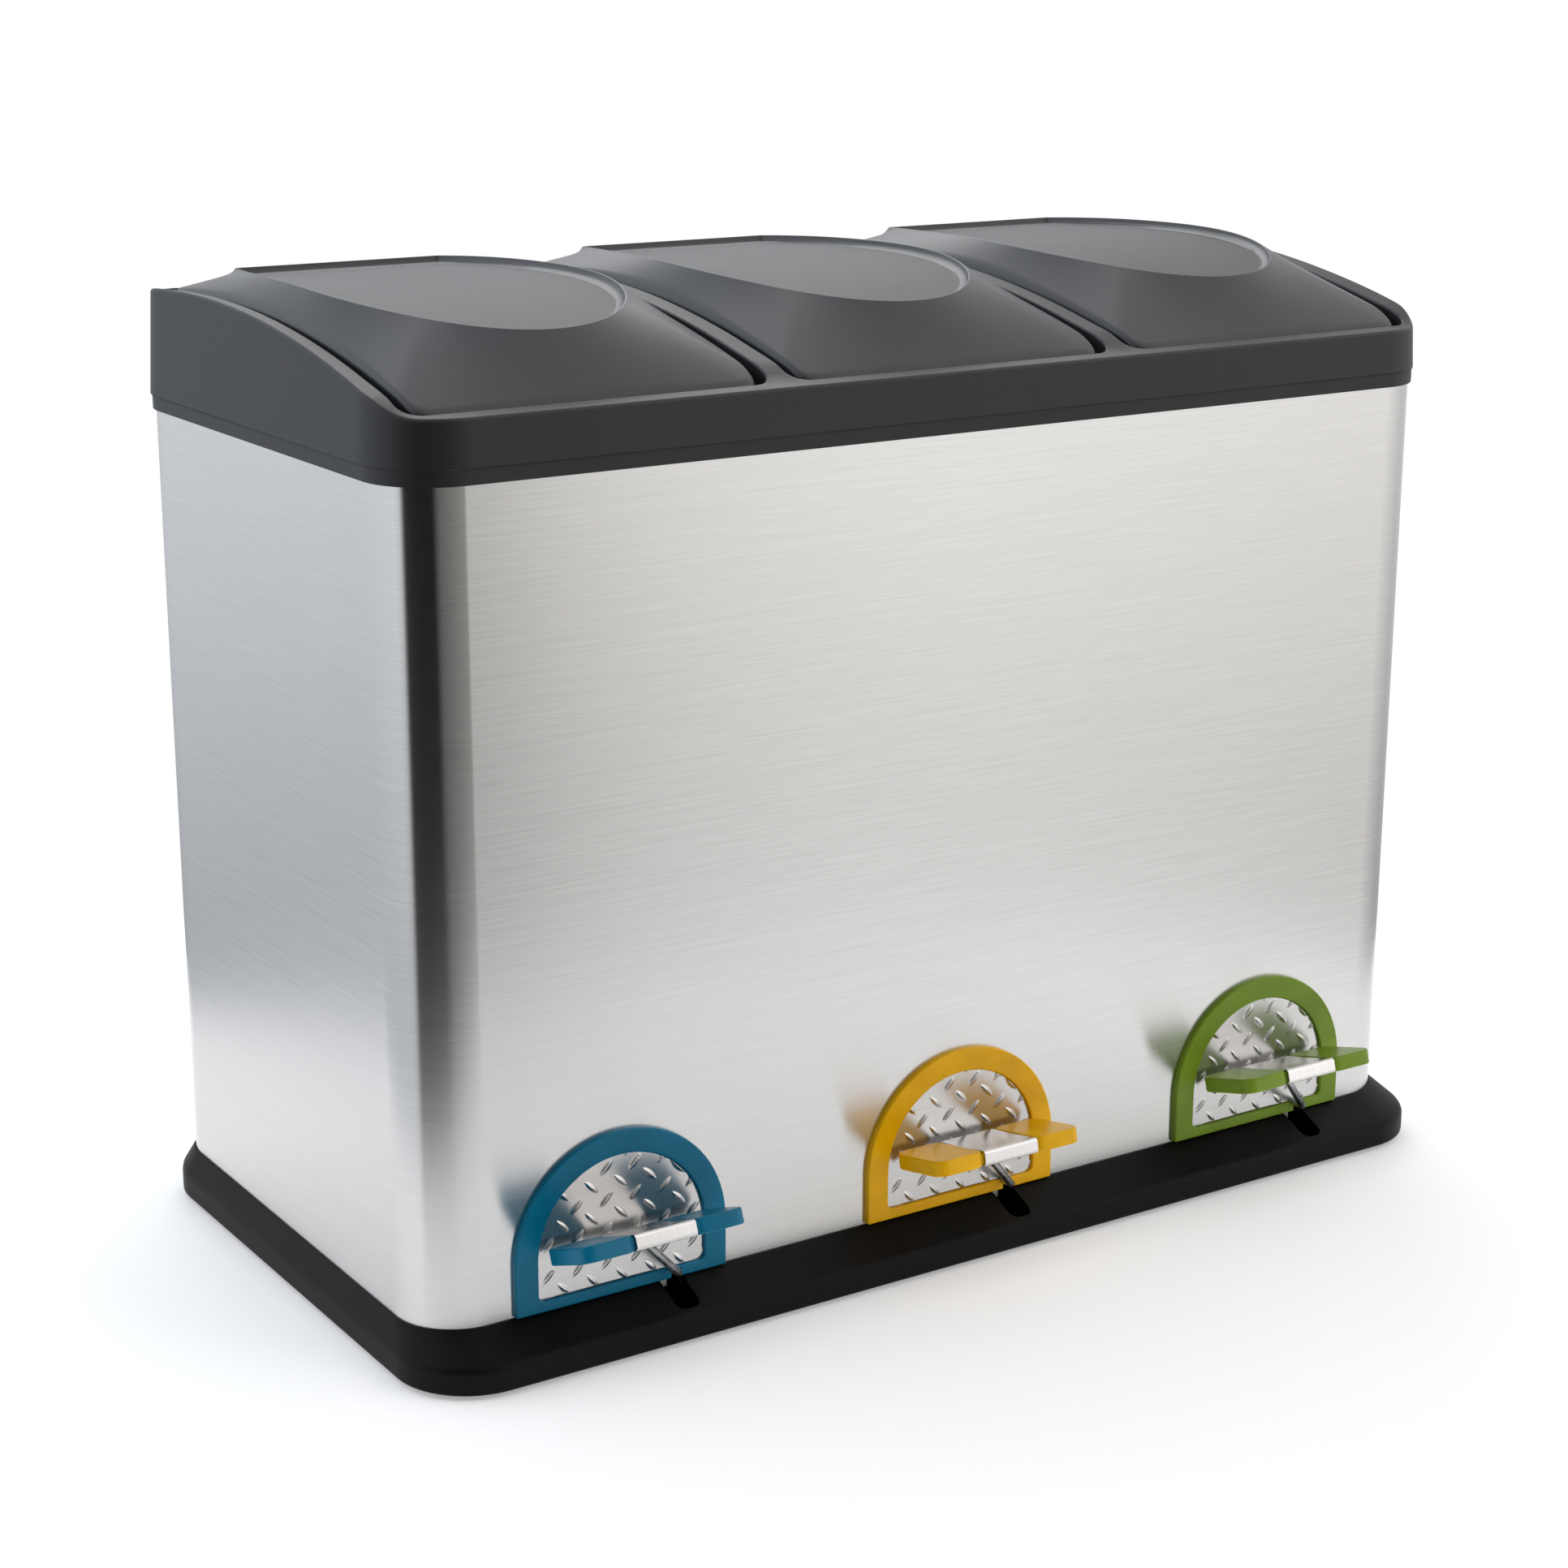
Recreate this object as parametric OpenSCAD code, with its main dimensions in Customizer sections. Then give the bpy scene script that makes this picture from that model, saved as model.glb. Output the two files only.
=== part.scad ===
// Three-compartment recycling bin with one pedal, lift rod and lid for each compartment.
// Width runs along X, the front faces -Y and Z is up.
// The origin is on the floor, under the middle of the whole bin.
// Depths inside the modules are measured from the front face of the steel body.

/* [Body] */
// Width of the steel body
body_w = 580; // [540:1:640]
// Depth of the steel body
body_d = 286; // [270:1:300]
// Corner radius of the steel body
body_r = 31; // [24:1:36]
// Thickness of the steel sheet
sheet_t = 1; // [0.6:0.1:1.5]
// Height of the upper edge of the steel body
body_top = 412; // [400:1:415]

/* [Base] */
// How far the base stands out beside the body
base_side = 8; // [4:0.5:12]
// How far the base stands out in front of the body
base_front = 23; // [21:0.5:26]
// How far the base stands out behind the body
base_rear = 6; // [5:0.5:10]
// Height of the base where it meets the body
base_top = 24.5; // [23:0.5:26]

/* [Top frame] */
// Height of the lower lip of the frame
lip_z = 404; // [400:1:406]
// Height of the front ledge
ledge_z = 432.5; // [430:0.5:436]
// Height of the frame's highest line
shoulder_z = 463.5; // [462:0.5:465]
// Radius of the arched side, seen from the side
arch_r = 690; // [670:5:720]

/* [Lids] */
// Distance from one compartment to the next
pitch = 191; // [186:0.5:196]
// Half the width of a lid
lid_half = 85.5; // [84:0.5:86.5]
// Angle that an open lid turns through
lid_open = 70; // [60:1:75]

/* [Pedals] */
// Half the width of a pedal pad
pad_half = 42.5; // [38:0.5:46]
// Depth of a pedal pad
pad_d = 38; // [34:1:42]
// Thickness of a pedal pad
pad_t = 7.6; // [6.5:0.1:8.5]
// Upward tilt of the left, middle and right pads
pad_tilts = [22, 12, 16]; // [5:1:24]
// Distance of a lever rod from its pedal's middle
lever_x = 28; // [24:1:32]

/* [Hidden] */
$fn = 48;
sides = [-1, 0, 1];
names = ["left", "middle", "right"];
blue = [0, 0.43, 0.62];
yellow = [0.93, 0.68, 0.03];
green = [0.45, 0.6, 0.12];
tints = [blue, yellow, green];
charcoal = [0.27, 0.29, 0.31];
steel = [0.78, 0.77, 0.75];
zinc = [0.45, 0.48, 0.5];
black = [0.07, 0.07, 0.07];
eps = 0.01;

// pad centre, on its upper face, ahead of the body
pad_y = -23.2;
pad_z = 64;
pad_reach = max([for (a = pad_tilts) -pad_y + pad_d / 2 * cos(a) + pad_t * sin(a)]);
front_y = (pad_reach - body_d - base_rear) / 2;
mid_y = body_d / 2;

// gaps round a pin that turns, round one that is fixed, and between parts that push
run_gap = 0.08;
fixed_gap = 0.02;
push_gap = 0.6;

// screws: shank, its hole, head
screw_d = 3;
screw_hole = screw_d + 2 * fixed_gap;
screw_head = 6;
head_t = 1.8;

// lever, pivot and lift rod
rod_d = 4;
rod_hole = rod_d + 2 * fixed_gap;
lever_z = 27.5;
lever_front = -13;
pivot_y = 110;
pivot_z = 21;
pivot_d = 5;
hub_half = 7.5;
hub_r = 7;
lift_y = 263.2;
lift_foot = lever_z + rod_d / 2 + push_gap;
cap_d = 9;
cap_h = 3;

// base, shelf and feet
base_r = 38;
base_z = 2;
ledge_low = 14;
floor_z = 5;
rim_gap = 1.5;
rim_t = 2.5;
rim_z0 = 12;
rim_z1 = 32;
foot_d = 24;
foot_h = 4;
leg_d = 14;
shelf_t = 2.5;
shelf_z = 51.5;
shelf_d = 250;
shelf_y = 131;

// lid hinge axis
hinge_y = 277;
hinge_z = 454.5;
pin_d = 4;
barrel_r = 4;
nose_r = 2.5;
nose_arm = 15.2;
nose_y = hinge_y - nose_arm * cos(lid_open / 2);
nose_z = hinge_z - nose_arm * sin(lid_open / 2);
cap_top = nose_z - nose_r - push_gap;

// openings in the frame, with a wall round each and a flange under the lid's edge
open_half = 90;
open_front = 10;
open_rear = 282;
open_r = 10;
wall_t = 1.8;
flange_w = 8;
flange_drop = 10;
flange_t = 1.5;
frame_t = 2.6;
frame_wall = 4;
frame_r = 5;
draft = tan(3);

// lid outline: front edge, widest point, rear edge
lid_front = open_front + 1.5;
lid_mid = 140;
lid_rear = hinge_y - 4.6;
lid_t = 2;
hem_h = 4;
lid_sink = 3.5;
crest_half = 72;
crest_front = 44.5;
crest_rear = 265;
crest_z = 471.6;
lid_steps = 72;

leg_x = [-270, -95.5, 95.5, 270];
leg_y = [25, 235];
foot_x = 245;
foot_y = [8, 268];
bracket_x = 16;
shelf_head = 8;
frame_screw_z = 407.5;

cabinet_parts = [
    "base_plinth", "rubber_feet", "body_shell", "bucket_shelf", "shelf_screws",
    "top_frame", "frame_screws", "bracket_screws"
];
bay_parts = [
    "tread_plate", "surround", "bucket", "pivot_bracket", "pivot_pin", "rod_guides", "hinge_pins",
    "lever_rod", "lever_hub", "pedal_pad", "pedal_clip", "lift_rod", "lift_caps", "lid", "lid_hinge"
];

// ---- outlines and curves ----

// rounded rectangle made of straight sides and true arcs
module round_rect(w, d, r) {
    square([w - 2 * r, d], center = true);
    square([w, d - 2 * r], center = true);
    for (x = [-1, 1], y = [-1, 1])
        translate([x * (w / 2 - r), y * (d / 2 - r)]) circle(r);
}

// upright block on a rounded rectangle, between two heights
module block(w, d, r, z0, z1) {
    translate([0, 0, z0]) linear_extrude(z1 - z0) round_rect(w, d, r);
}

// places what follows at the front face of the body
module from_front() {
    translate([0, front_y, 0]) children();
}

// places what follows in compartment i, at the front face of the body
module in_bay(i) {
    translate([sides[i] * pitch, front_y, 0]) children();
}

// rod along X, from x0 to x1
module bar_x(x0, x1, d) {
    translate([x0, 0, 0]) rotate([0, 90, 0]) cylinder(h = x1 - x0, d = d);
}

// rod between two points
module bar_between(a, b, d) {
    v = b - a;
    translate(a) rotate([0, acos(v.z / norm(v)), atan2(v.y, v.x)]) cylinder(h = norm(v), d = d);
}

// height of the frame's top at a depth: front ledge, rise, arch
arch_y = 205;
rise_y0 = 5;
rise_y1 = 28;
rise_slope = (arch_y - rise_y1) / arch_r;
function arch(y) = shoulder_z - arch_r + sqrt(arch_r * arch_r - pow(arch_y - y, 2));
function rise(t) = ledge_z + (arch(rise_y1) - ledge_z) * (3 * t * t - 2 * t * t * t)
    + (rise_y1 - rise_y0) * rise_slope * (t * t * t - t * t);
function shoulder(y) =
    y >= rise_y1 ? arch(y) :
    y <= rise_y0 ? ledge_z : rise((y - rise_y0) / (rise_y1 - rise_y0));

// ---- base ----

slot_w = 9;
slot_z = 9;
slot_h = 40;
slot_front = -14.5;
slot_side = 3.5;

// slot for a lever rod, wider on the side that the rod leans to, back to a depth
module rod_slot(depth_in) {
    r = slot_w / 2;
    for (x = [-slot_side, 0]) translate([lever_x + x, slot_front, slot_z]) cylinder(h = slot_h, d = slot_w);
    translate([lever_x - slot_side, slot_front - r, slot_z]) cube([slot_side, r, slot_h]);
    translate([lever_x - slot_side - r, slot_front, slot_z])
        cube([slot_w + slot_side, depth_in - slot_front, slot_h]);
}

module at_feet() {
    for (x = [-foot_x, foot_x], y = foot_y) translate([x, y, 0]) children();
}

module at_legs() {
    for (x = leg_x, y = leg_y) translate([x, y, 0]) children();
}

module at_bracket_screws(i) {
    for (x = [-bracket_x, bracket_x]) translate([sides[i] * pitch + lever_x + x, pivot_y, 0]) children();
}

module base_form() {
    w = body_w + 2 * base_side;
    d = body_d + base_front + base_rear;
    y = (body_d + base_rear - base_front) / 2;
    translate([0, y, 0]) block(w, d, base_r, base_z, ledge_low);
    hull() {
        translate([0, y, 0]) block(w - 1, d - 1, base_r - 0.5, ledge_low - eps, ledge_low + eps);
        translate([0, mid_y, 0]) block(body_w + 3, body_d + 3, body_r + 1.5, base_top - 1, base_top);
    }
}

module base_plinth() {
    rim_w = body_w - 2 * rim_gap;
    rim_d = body_d - 2 * rim_gap;
    rim_r = body_r - rim_gap;
    color(black) from_front() difference() {
        union() {
            base_form();
            translate([0, mid_y, 0]) block(rim_w, rim_d, rim_r, rim_z0, rim_z1);
        }
        translate([0, mid_y, 0]) block(rim_w - 2 * rim_t, rim_d - 2 * rim_t, rim_r - rim_t, floor_z, 60);
        translate([0, mid_y, 0]) difference() {
            block(body_w + 0.4, body_d + 0.4, body_r + 0.2, body_z, 60);
            block(rim_w, rim_d, rim_r, 10, 70);
        }
        for (s = sides) translate([s * pitch, 0, 0]) rod_slot(12);
        at_feet() cylinder(h = foot_h, d = foot_d + 0.4);
        at_legs() {
            cylinder(h = 10, d = screw_d + 1.2);
            cylinder(h = base_z + 1.6, d = shelf_head + 0.4);
        }
        for (i = [0:2]) at_bracket_screws(i) cylinder(h = 10, d = screw_hole);
    }
}

module rubber_feet() {
    color(black) from_front() at_feet() cylinder(h = foot_h, d = foot_d);
}

// ---- steel body ----

body_z = 20;
gap_d = 7;

// notch that a lever rod passes through, between two depths
module rod_gap(y0, y1) {
    translate([lever_x - gap_d / 2, y0, 10]) cube([gap_d, y1 - y0, lever_z - 10]);
    translate([lever_x, y1, lever_z]) rotate([90, 0, 0]) cylinder(h = y1 - y0, d = gap_d);
}

// screws that hold the frame to the rear of the body, starting at a depth
module at_frame_screws(y) {
    for (s = sides) translate([s * pitch, y, frame_screw_z]) rotate([-90, 0, 0]) children();
}

module body_shell() {
    color(steel) from_front() difference() {
        union() {
            translate([0, mid_y, 0]) difference() {
                block(body_w, body_d, body_r, body_z, body_top);
                block(body_w - 2 * sheet_t, body_d - 2 * sheet_t, body_r - sheet_t, 10, body_top + 1);
            }
            translate([-12, body_d - 2 * sheet_t, 36]) cube([24, sheet_t + eps, 360]);
        }
        for (s = sides) translate([s * pitch, 0, 0]) rod_gap(-5, 7);
        at_frame_screws(body_d - 4) cylinder(h = 8, d = screw_hole);
    }
}

// ---- shelf under the buckets ----

module bucket_shelf() {
    rib_w = 6;
    rib_d = 200;
    color(black) from_front() difference() {
        union() {
            translate([0, shelf_y, 0]) block(body_w - 12, shelf_d, 20, shelf_z - shelf_t, shelf_z);
            at_legs() translate([0, 0, floor_z]) cylinder(h = shelf_z - floor_z - 1, d = leg_d);
            for (s = [-1, 1]) translate([s * pitch / 2 - rib_w / 2, shelf_y - rib_d / 2, shelf_z - 1])
                cube([rib_w, rib_d, 9]);
        }
        at_legs() translate([0, 0, floor_z - 1]) cylinder(h = 17, d = screw_hole);
    }
}

module shelf_screws() {
    color(zinc) from_front() at_legs() {
        translate([0, 0, base_z]) cylinder(h = 1.6, d = shelf_head);
        translate([0, 0, base_z + 1.5]) cylinder(h = 16, d = screw_d);
    }
}

// ---- top frame ----

// everything under the frame's top line, lowered by a distance
module under_top(drop) {
    steps = 40;
    rear = 300;
    arc = [for (k = [0:steps]) let (y = rise_y0 + (rear - rise_y0) * k / steps) [y, shoulder(y) - drop]];
    outline = concat([[-20, 380], [-20, ledge_z - drop]], arc, [[rear, 380]]);
    translate([-400, 0, 0]) rotate([90, 0, 90]) linear_extrude(800) polygon(outline);
}

// block that leans inwards by the draft, pulled in by a distance
frame_over = 3;
lip_over = 1.6;
lip_h = 7;
module frame_form(inset) {
    h = 60;
    over = 2 * (frame_over - inset);
    lean = 2 * h * draft;
    z = lip_z + lip_h;
    r = body_r + frame_r - inset;
    hull() {
        block(body_w + over, body_d + over, r, z, z + eps);
        block(body_w + over - lean, body_d + over - lean, r - lean / 2, z + h, z + h + eps);
    }
}

module frame_shell() {
    lip = 2 * lip_over;
    play = 0.3;
    difference() {
        intersection() {
            translate([0, mid_y, 0]) union() {
                block(body_w + lip, body_d + lip, body_r + lip_over, lip_z, lip_z + lip_h + 1);
                frame_form(0);
            }
            under_top(0);
        }
        translate([0, mid_y, 0])
            block(body_w + 2 * play, body_d + 2 * play, body_r + play, lip_z - 10, body_top + play);
        intersection() {
            translate([0, mid_y, 0]) frame_form(frame_wall);
            under_top(frame_t);
        }
    }
}

lug_x = 66;
lug_w = 8;
lug_reach = 8;
seat_x = 60;

module hinge_lug(x) {
    translate([x - lug_w / 2, hinge_y, hinge_z]) difference() {
        union() {
            bar_x(0, lug_w, 2 * barrel_r);
            translate([0, 0, -barrel_r]) cube([lug_w, lug_reach, 2 * barrel_r]);
        }
        bar_x(-1, lug_w + 1, pin_d + 2 * fixed_gap);
    }
}

// rounded block over a lid opening, wider by a margin at the sides and by others at front and rear
module opening_block(side, front, rear) {
    d = open_rear - open_front + front + rear;
    translate([0, open_front - front + d / 2, 0])
        block(2 * (open_half + side), d, open_r + min(side, 0), 415, 480);
}

// band that follows the frame's top line, between two distances below it
module top_band(drop0, drop1) {
    difference() {
        under_top(drop0);
        under_top(drop1);
    }
}

// wall round a lid opening, and the flange that the lid's edge lies over
module opening_rim() {
    intersection() {
        difference() {
            opening_block(wall_t, wall_t, wall_t);
            opening_block(0, 0, 0);
        }
        top_band(1, flange_drop + flange_t);
    }
    intersection() {
        difference() {
            opening_block(eps, eps, 0);
            translate([0, 0, -1]) opening_block(-flange_w, -flange_w, 20);
        }
        top_band(flange_drop, flange_drop + flange_t);
    }
    seat_z = shoulder(lid_front) - flange_drop - 0.5;
    seat_top = rim_z(lid_front) - hem_h - 0.4;
    for (x = [-seat_x, seat_x]) translate([x - 5, lid_front, seat_z]) cube([10, 3, seat_top - seat_z]);
}

module top_frame() {
    color(charcoal) from_front() difference() {
        union() {
            difference() {
                frame_shell();
                for (s = sides) translate([s * pitch, 0, 0]) opening_block(0, 0, 0);
            }
            for (s = sides) translate([s * pitch, 0, 0]) {
                opening_rim();
                hinge_lug(-lug_x);
                hinge_lug(lug_x);
            }
        }
        at_frame_screws(body_d - 4) cylinder(h = 12, d = screw_hole);
    }
}

module frame_screws() {
    color(zinc) from_front() at_frame_screws(body_d - 3) {
        cylinder(h = 6, d = screw_d);
        translate([0, 0, 4.6]) cylinder(h = head_t, d = screw_head);
    }
}

// ---- pedal surround and tread plate ----

ring_half = 55.3;
ring_w = 11.7;
ring_foot = 24.8;
ring_axis = 48.6;
ring_t = 3;
sill = 5.5;
tread_t = 1.2;

// flat-bottomed arch in the XZ plane
module arch_outline(half, foot) {
    translate([0, ring_axis]) circle(half, $fn = 72);
    translate([-half, foot]) square([2 * half, ring_axis - foot]);
}

module arch_plate(half, foot, y0, y1) {
    translate([0, y1, 0]) rotate([90, 0, 0]) linear_extrude(y1 - y0) intersection() {
        arch_outline(half, foot);
        translate([-half, foot]) square([2 * half, 2 * half + 40]);
    }
}

module surround(i) {
    color(tints[i]) in_bay(i) difference() {
        arch_plate(ring_half, ring_foot, -ring_t, 0);
        arch_plate(ring_half - ring_w, ring_foot + sill, -5, 1);
        rod_gap(-6, 2);
    }
}

module tread_plate(i) {
    color(steel) in_bay(i) difference() {
        arch_plate(ring_half - ring_w - 0.1, ring_foot + sill + 0.1, -tread_t, 0);
        rod_gap(-6, 2);
    }
}

// ---- buckets ----

bucket_w = 176;
bucket_d = 240;
bucket_y = 134;
bucket_top = 410;

module bucket_form(inset, z0, z1) {
    hull() {
        block(bucket_w - 20 - inset, bucket_d - 20 - inset, 18, z0, z0 + 0.5);
        block(bucket_w - 6 - inset, bucket_d - 6 - inset, 22, z1 - 0.5, z1);
    }
}

module bucket(i) {
    color(black) in_bay(i) translate([0, bucket_y, 0]) difference() {
        union() {
            bucket_form(0, shelf_z, bucket_top);
            block(bucket_w, bucket_d, 24, bucket_top - 4, bucket_top);
        }
        bucket_form(4, shelf_z + 2.2, bucket_top + 1);
    }
}

// ---- levers and pivots ----

bracket_t = 2;

module pivot_bracket(i) {
    color(zinc) difference() {
        in_bay(i) translate([lever_x, pivot_y, 0]) difference() {
            union() {
                translate([-22, -9, floor_z]) cube([44, 18, bracket_t]);
                for (x = [-hub_half - 3.5, hub_half + 0.5]) translate([x, 0, 0]) {
                    translate([0, -hub_r, floor_z + 1]) cube([3, 2 * hub_r, pivot_z - floor_z - 1]);
                    translate([0, 0, pivot_z]) bar_x(0, 3, 2 * hub_r);
                }
            }
            translate([0, 0, pivot_z]) bar_x(-20, 20, pivot_d + 2 * fixed_gap);
        }
        from_front() at_bracket_screws(i) cylinder(h = 20, d = screw_hole);
    }
}

module bracket_screws() {
    color(zinc) from_front() for (i = [0:2]) at_bracket_screws(i) {
        translate([0, 0, 2.6]) cylinder(h = 5, d = screw_d);
        translate([0, 0, floor_z + bracket_t]) cylinder(h = head_t, d = screw_head);
    }
}

module pivot_pin(i) {
    color(steel) in_bay(i) translate([lever_x, pivot_y, pivot_z]) {
        bar_x(-13, 13, pivot_d);
        bar_x(-14.5, -11.1, 8);
    }
}

module lever_hub(i) {
    color(charcoal) in_bay(i) translate([lever_x, pivot_y, 0]) difference() {
        union() {
            translate([-hub_half, -hub_r, pivot_z]) cube([2 * hub_half, 2 * hub_r, 11]);
            translate([0, 0, pivot_z]) bar_x(-hub_half, hub_half, 2 * hub_r);
        }
        translate([0, 0, pivot_z]) bar_x(-20, 20, pivot_d + 2 * run_gap);
        translate([0, 20, lever_z]) rotate([90, 0, 0]) cylinder(h = 40, d = rod_hole);
    }
}

// places what follows on the pad: X across, Y back along it, Z out of its upper face
module on_pad(i) {
    in_bay(i) translate([0, pad_y, pad_z]) rotate([-pad_tilts[i], 0, 0]) children();
}

module lever_rod(i) {
    bend = [lever_x, lever_front, lever_z];
    top = [0, pad_y + 3, pad_z];
    color(zinc) difference() {
        in_bay(i) {
            translate(bend) rotate([-90, 0, 0])
                cylinder(h = lift_y + 5 - lever_front, d = rod_d);
            translate(bend) sphere(d = rod_d + 0.4);
            bar_between(bend, top, rod_d);
        }
        on_pad(i) translate([-30, -40, -pad_t - fixed_gap]) cube([60, 80, 60]);
    }
}

clip_half = 15.7;
clip_t = 0.8;

module pad_form(x0, x1, shrink, r) {
    w = x1 - x0;
    translate([(x0 + x1) / 2, 0, -pad_t + shrink])
        linear_extrude(pad_t - 2 * shrink) round_rect(w, pad_d - 2 * shrink, r);
}

module pedal_pad(i) {
    shrink = clip_t + fixed_gap;
    color(tints[i]) on_pad(i) {
        pad_form(clip_half + 0.4, pad_half, 0, 5);
        pad_form(-pad_half, -clip_half - 0.4, 0, 5);
        pad_form(-clip_half - 6, clip_half + 6, shrink, 1);
    }
}

module pedal_clip(i) {
    color(steel) on_pad(i) difference() {
        pad_form(-clip_half, clip_half, 0, 1.5);
        pad_form(-clip_half - 20, clip_half + 20, clip_t, 0.7);
    }
}

// ---- lift rods ----

module lift_rod(i) {
    z0 = lift_foot + cap_h;
    color(zinc) in_bay(i) translate([lever_x, lift_y, z0]) cylinder(h = cap_top - cap_h - z0, d = rod_d);
}

// socket that a rod's end sits in, with its closed end at the bottom
module cap() {
    difference() {
        cylinder(h = cap_h + 6, d = cap_d);
        translate([0, 0, cap_h]) cylinder(h = 10, d = rod_hole);
    }
}

// the lower cap's closed end is domed, because the lever tilts under it
module lift_caps(i) {
    dome_r = 12;
    color(charcoal) in_bay(i) translate([lever_x, lift_y, 0]) {
        intersection() {
            translate([0, 0, lift_foot]) cap();
            translate([0, 0, lift_foot + dome_r]) sphere(r = dome_r);
        }
        translate([0, 0, cap_top]) mirror([0, 0, 1]) cap();
    }
}

module rod_guides(i) {
    y0 = lift_y - 6;
    depth = body_d - 2 * sheet_t - 0.1 - y0;
    color(black) in_bay(i) for (z = [150, 380]) translate([lever_x, 0, z]) difference() {
        translate([-7, y0, 0]) cube([14, depth, 8]);
        translate([0, lift_y, -1]) cylinder(h = 10, d = rod_d + 2 * run_gap);
    }
}

// ---- lids ----

module hinge_pins(i) {
    pin_l = 21;
    color(steel) in_bay(i) for (x = [-70.5, 70.5 - pin_l]) translate([x, hinge_y, hinge_z])
        bar_x(0, pin_l, pin_d);
}

// side line of the crest round the lid's dish
crest_y = 165;
function crest_line(y) = crest_z - pow(y - crest_y, 2) * (y < crest_y ? 0.00084 : 0.00035);

// point of the crest at an angle, counted from the front
function crest_len(a) = cos(a) > 0 ? lid_mid - crest_front : 188;
function crest(a) = [crest_half * sin(a), min(crest_rear, lid_mid - crest_len(a) * cos(a))];

// point of the rim beyond a point of the crest
rim_n = 24;
function rim_reach(p) = pow(
    pow(abs(p.x) / lid_half, rim_n) +
    pow(abs(p.y - lid_mid) / (p.y < lid_mid ? lid_mid - lid_front : lid_rear - lid_mid), rim_n), -1 / rim_n);
function rim(p) = [0, lid_mid] + (p - [0, lid_mid]) * rim_reach(p);
function rim_z(y) = shoulder(y) - lid_sink;

// rings of the upper face, from the rim inwards: flank share, then dish share
flank = [0, 0.05, 0.15, 0.4, 0.7, 1];
dish = [0.9, 0.5];
dish_drop = 3.5;
dish_sag = 1.5;

// the lid's edge is rounded over this width and height
edge_w = 4;
edge_h = 2.5;
function edge_rise(d) = edge_h * sqrt(1 - pow(1 - min(1, d / edge_w), 2));
function flank_pt(c, s) = let (r = rim(c), q = r + (c - r) * s, z = rim_z(r.y))
    [q.x, q.y, z + edge_rise(norm(c - r) * s) + (crest_line(c.y) - z - edge_h) * s];
function dish_pt(c, s) = let (m = [0, lid_mid + 15], q = m + (c - m) * s)
    [q.x, q.y, crest_line(q.y) - dish_drop - dish_sag * (1 - s * s)];
function top_rings(drop, inset) = concat(
    [for (s = flank) [for (k = [0:lid_steps - 1]) let (p = flank_pt(crest(360 * k / lid_steps), s))
        pull(p, drop, inset)]],
    [for (s = dish) [for (k = [0:lid_steps - 1]) let (p = dish_pt(crest(360 * k / lid_steps), s))
        pull(p, drop, inset)]]);
function pull(p, drop, inset) = let (v = [p.x, p.y - lid_mid], n = norm(v), u = v * (n - inset) / n)
    [u.x, u.y + lid_mid, p.z - drop];
function hem(inset) = [for (k = [0:lid_steps - 1]) let (p = flank_pt(crest(360 * k / lid_steps), 0))
    pull(p, hem_h, inset)];

// closed shell through a stack of equal rings, ending in a point at each end
module ring_shell(rings, first, last) {
    n = len(rings[0]);
    m = len(rings);
    pts = concat([for (r = rings, p = r) p], [first, last]);
    walls = [for (j = [0:m - 2], k = [0:n - 1]) each [
        [j * n + k, j * n + (k + 1) % n, (j + 1) * n + (k + 1) % n],
        [j * n + k, (j + 1) * n + (k + 1) % n, (j + 1) * n + k]]];
    start = [for (k = [0:n - 1]) [m * n, (k + 1) % n, k]];
    end = [for (k = [0:n - 1]) [m * n + 1, (m - 1) * n + k, (m - 1) * n + (k + 1) % n]];
    polyhedron(pts, concat(walls, start, end));
}

function turned(v) = [for (k = [len(v) - 1:-1:0]) v[k]];

module lid(i) {
    under = top_rings(lid_t, lid_t);
    rings = concat(turned(under), [hem(lid_t)], [hem(0)], top_rings(0, 0));
    middle = [0, lid_mid + 15];
    top_z = crest_line(middle.y) - dish_drop - dish_sag;
    color(charcoal) in_bay(i)
        ring_shell(rings, [middle.x, middle.y, top_z - lid_t], [middle.x, middle.y, top_z]);
}

// strap under the lid's rear
strap_half = 61;
strap_y = 250;
strap_w = 17.5;
strap_z = hinge_z - 7;
strap_t = 3.5;

// its two posts end on the slope behind the lid's dish, and carry the lid
post_x = 40;
post_y = 257;
post_d = 8;
post_turn = 180 - asin(post_x / crest_half);
slope_low = pull(dish_pt(crest(post_turn), dish[0]), lid_t, lid_t);
slope_high = pull(flank_pt(crest(post_turn), 1), lid_t, lid_t);
post_slope = atan2(slope_high.z - slope_low.z, slope_high.y - slope_low.y);
post_gap = 0.1;

module post() {
    difference() {
        translate([0, post_y, strap_z + 1]) cylinder(h = 20, d = post_d);
        translate([0, slope_low.y, slope_low.z - post_gap]) rotate([post_slope, 0, 0])
            translate([-post_d, -2 * post_d, 0]) cube([2 * post_d, 5 * post_d, 20]);
    }
}

knuckle_w = 11;
nose_w = 8;

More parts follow.
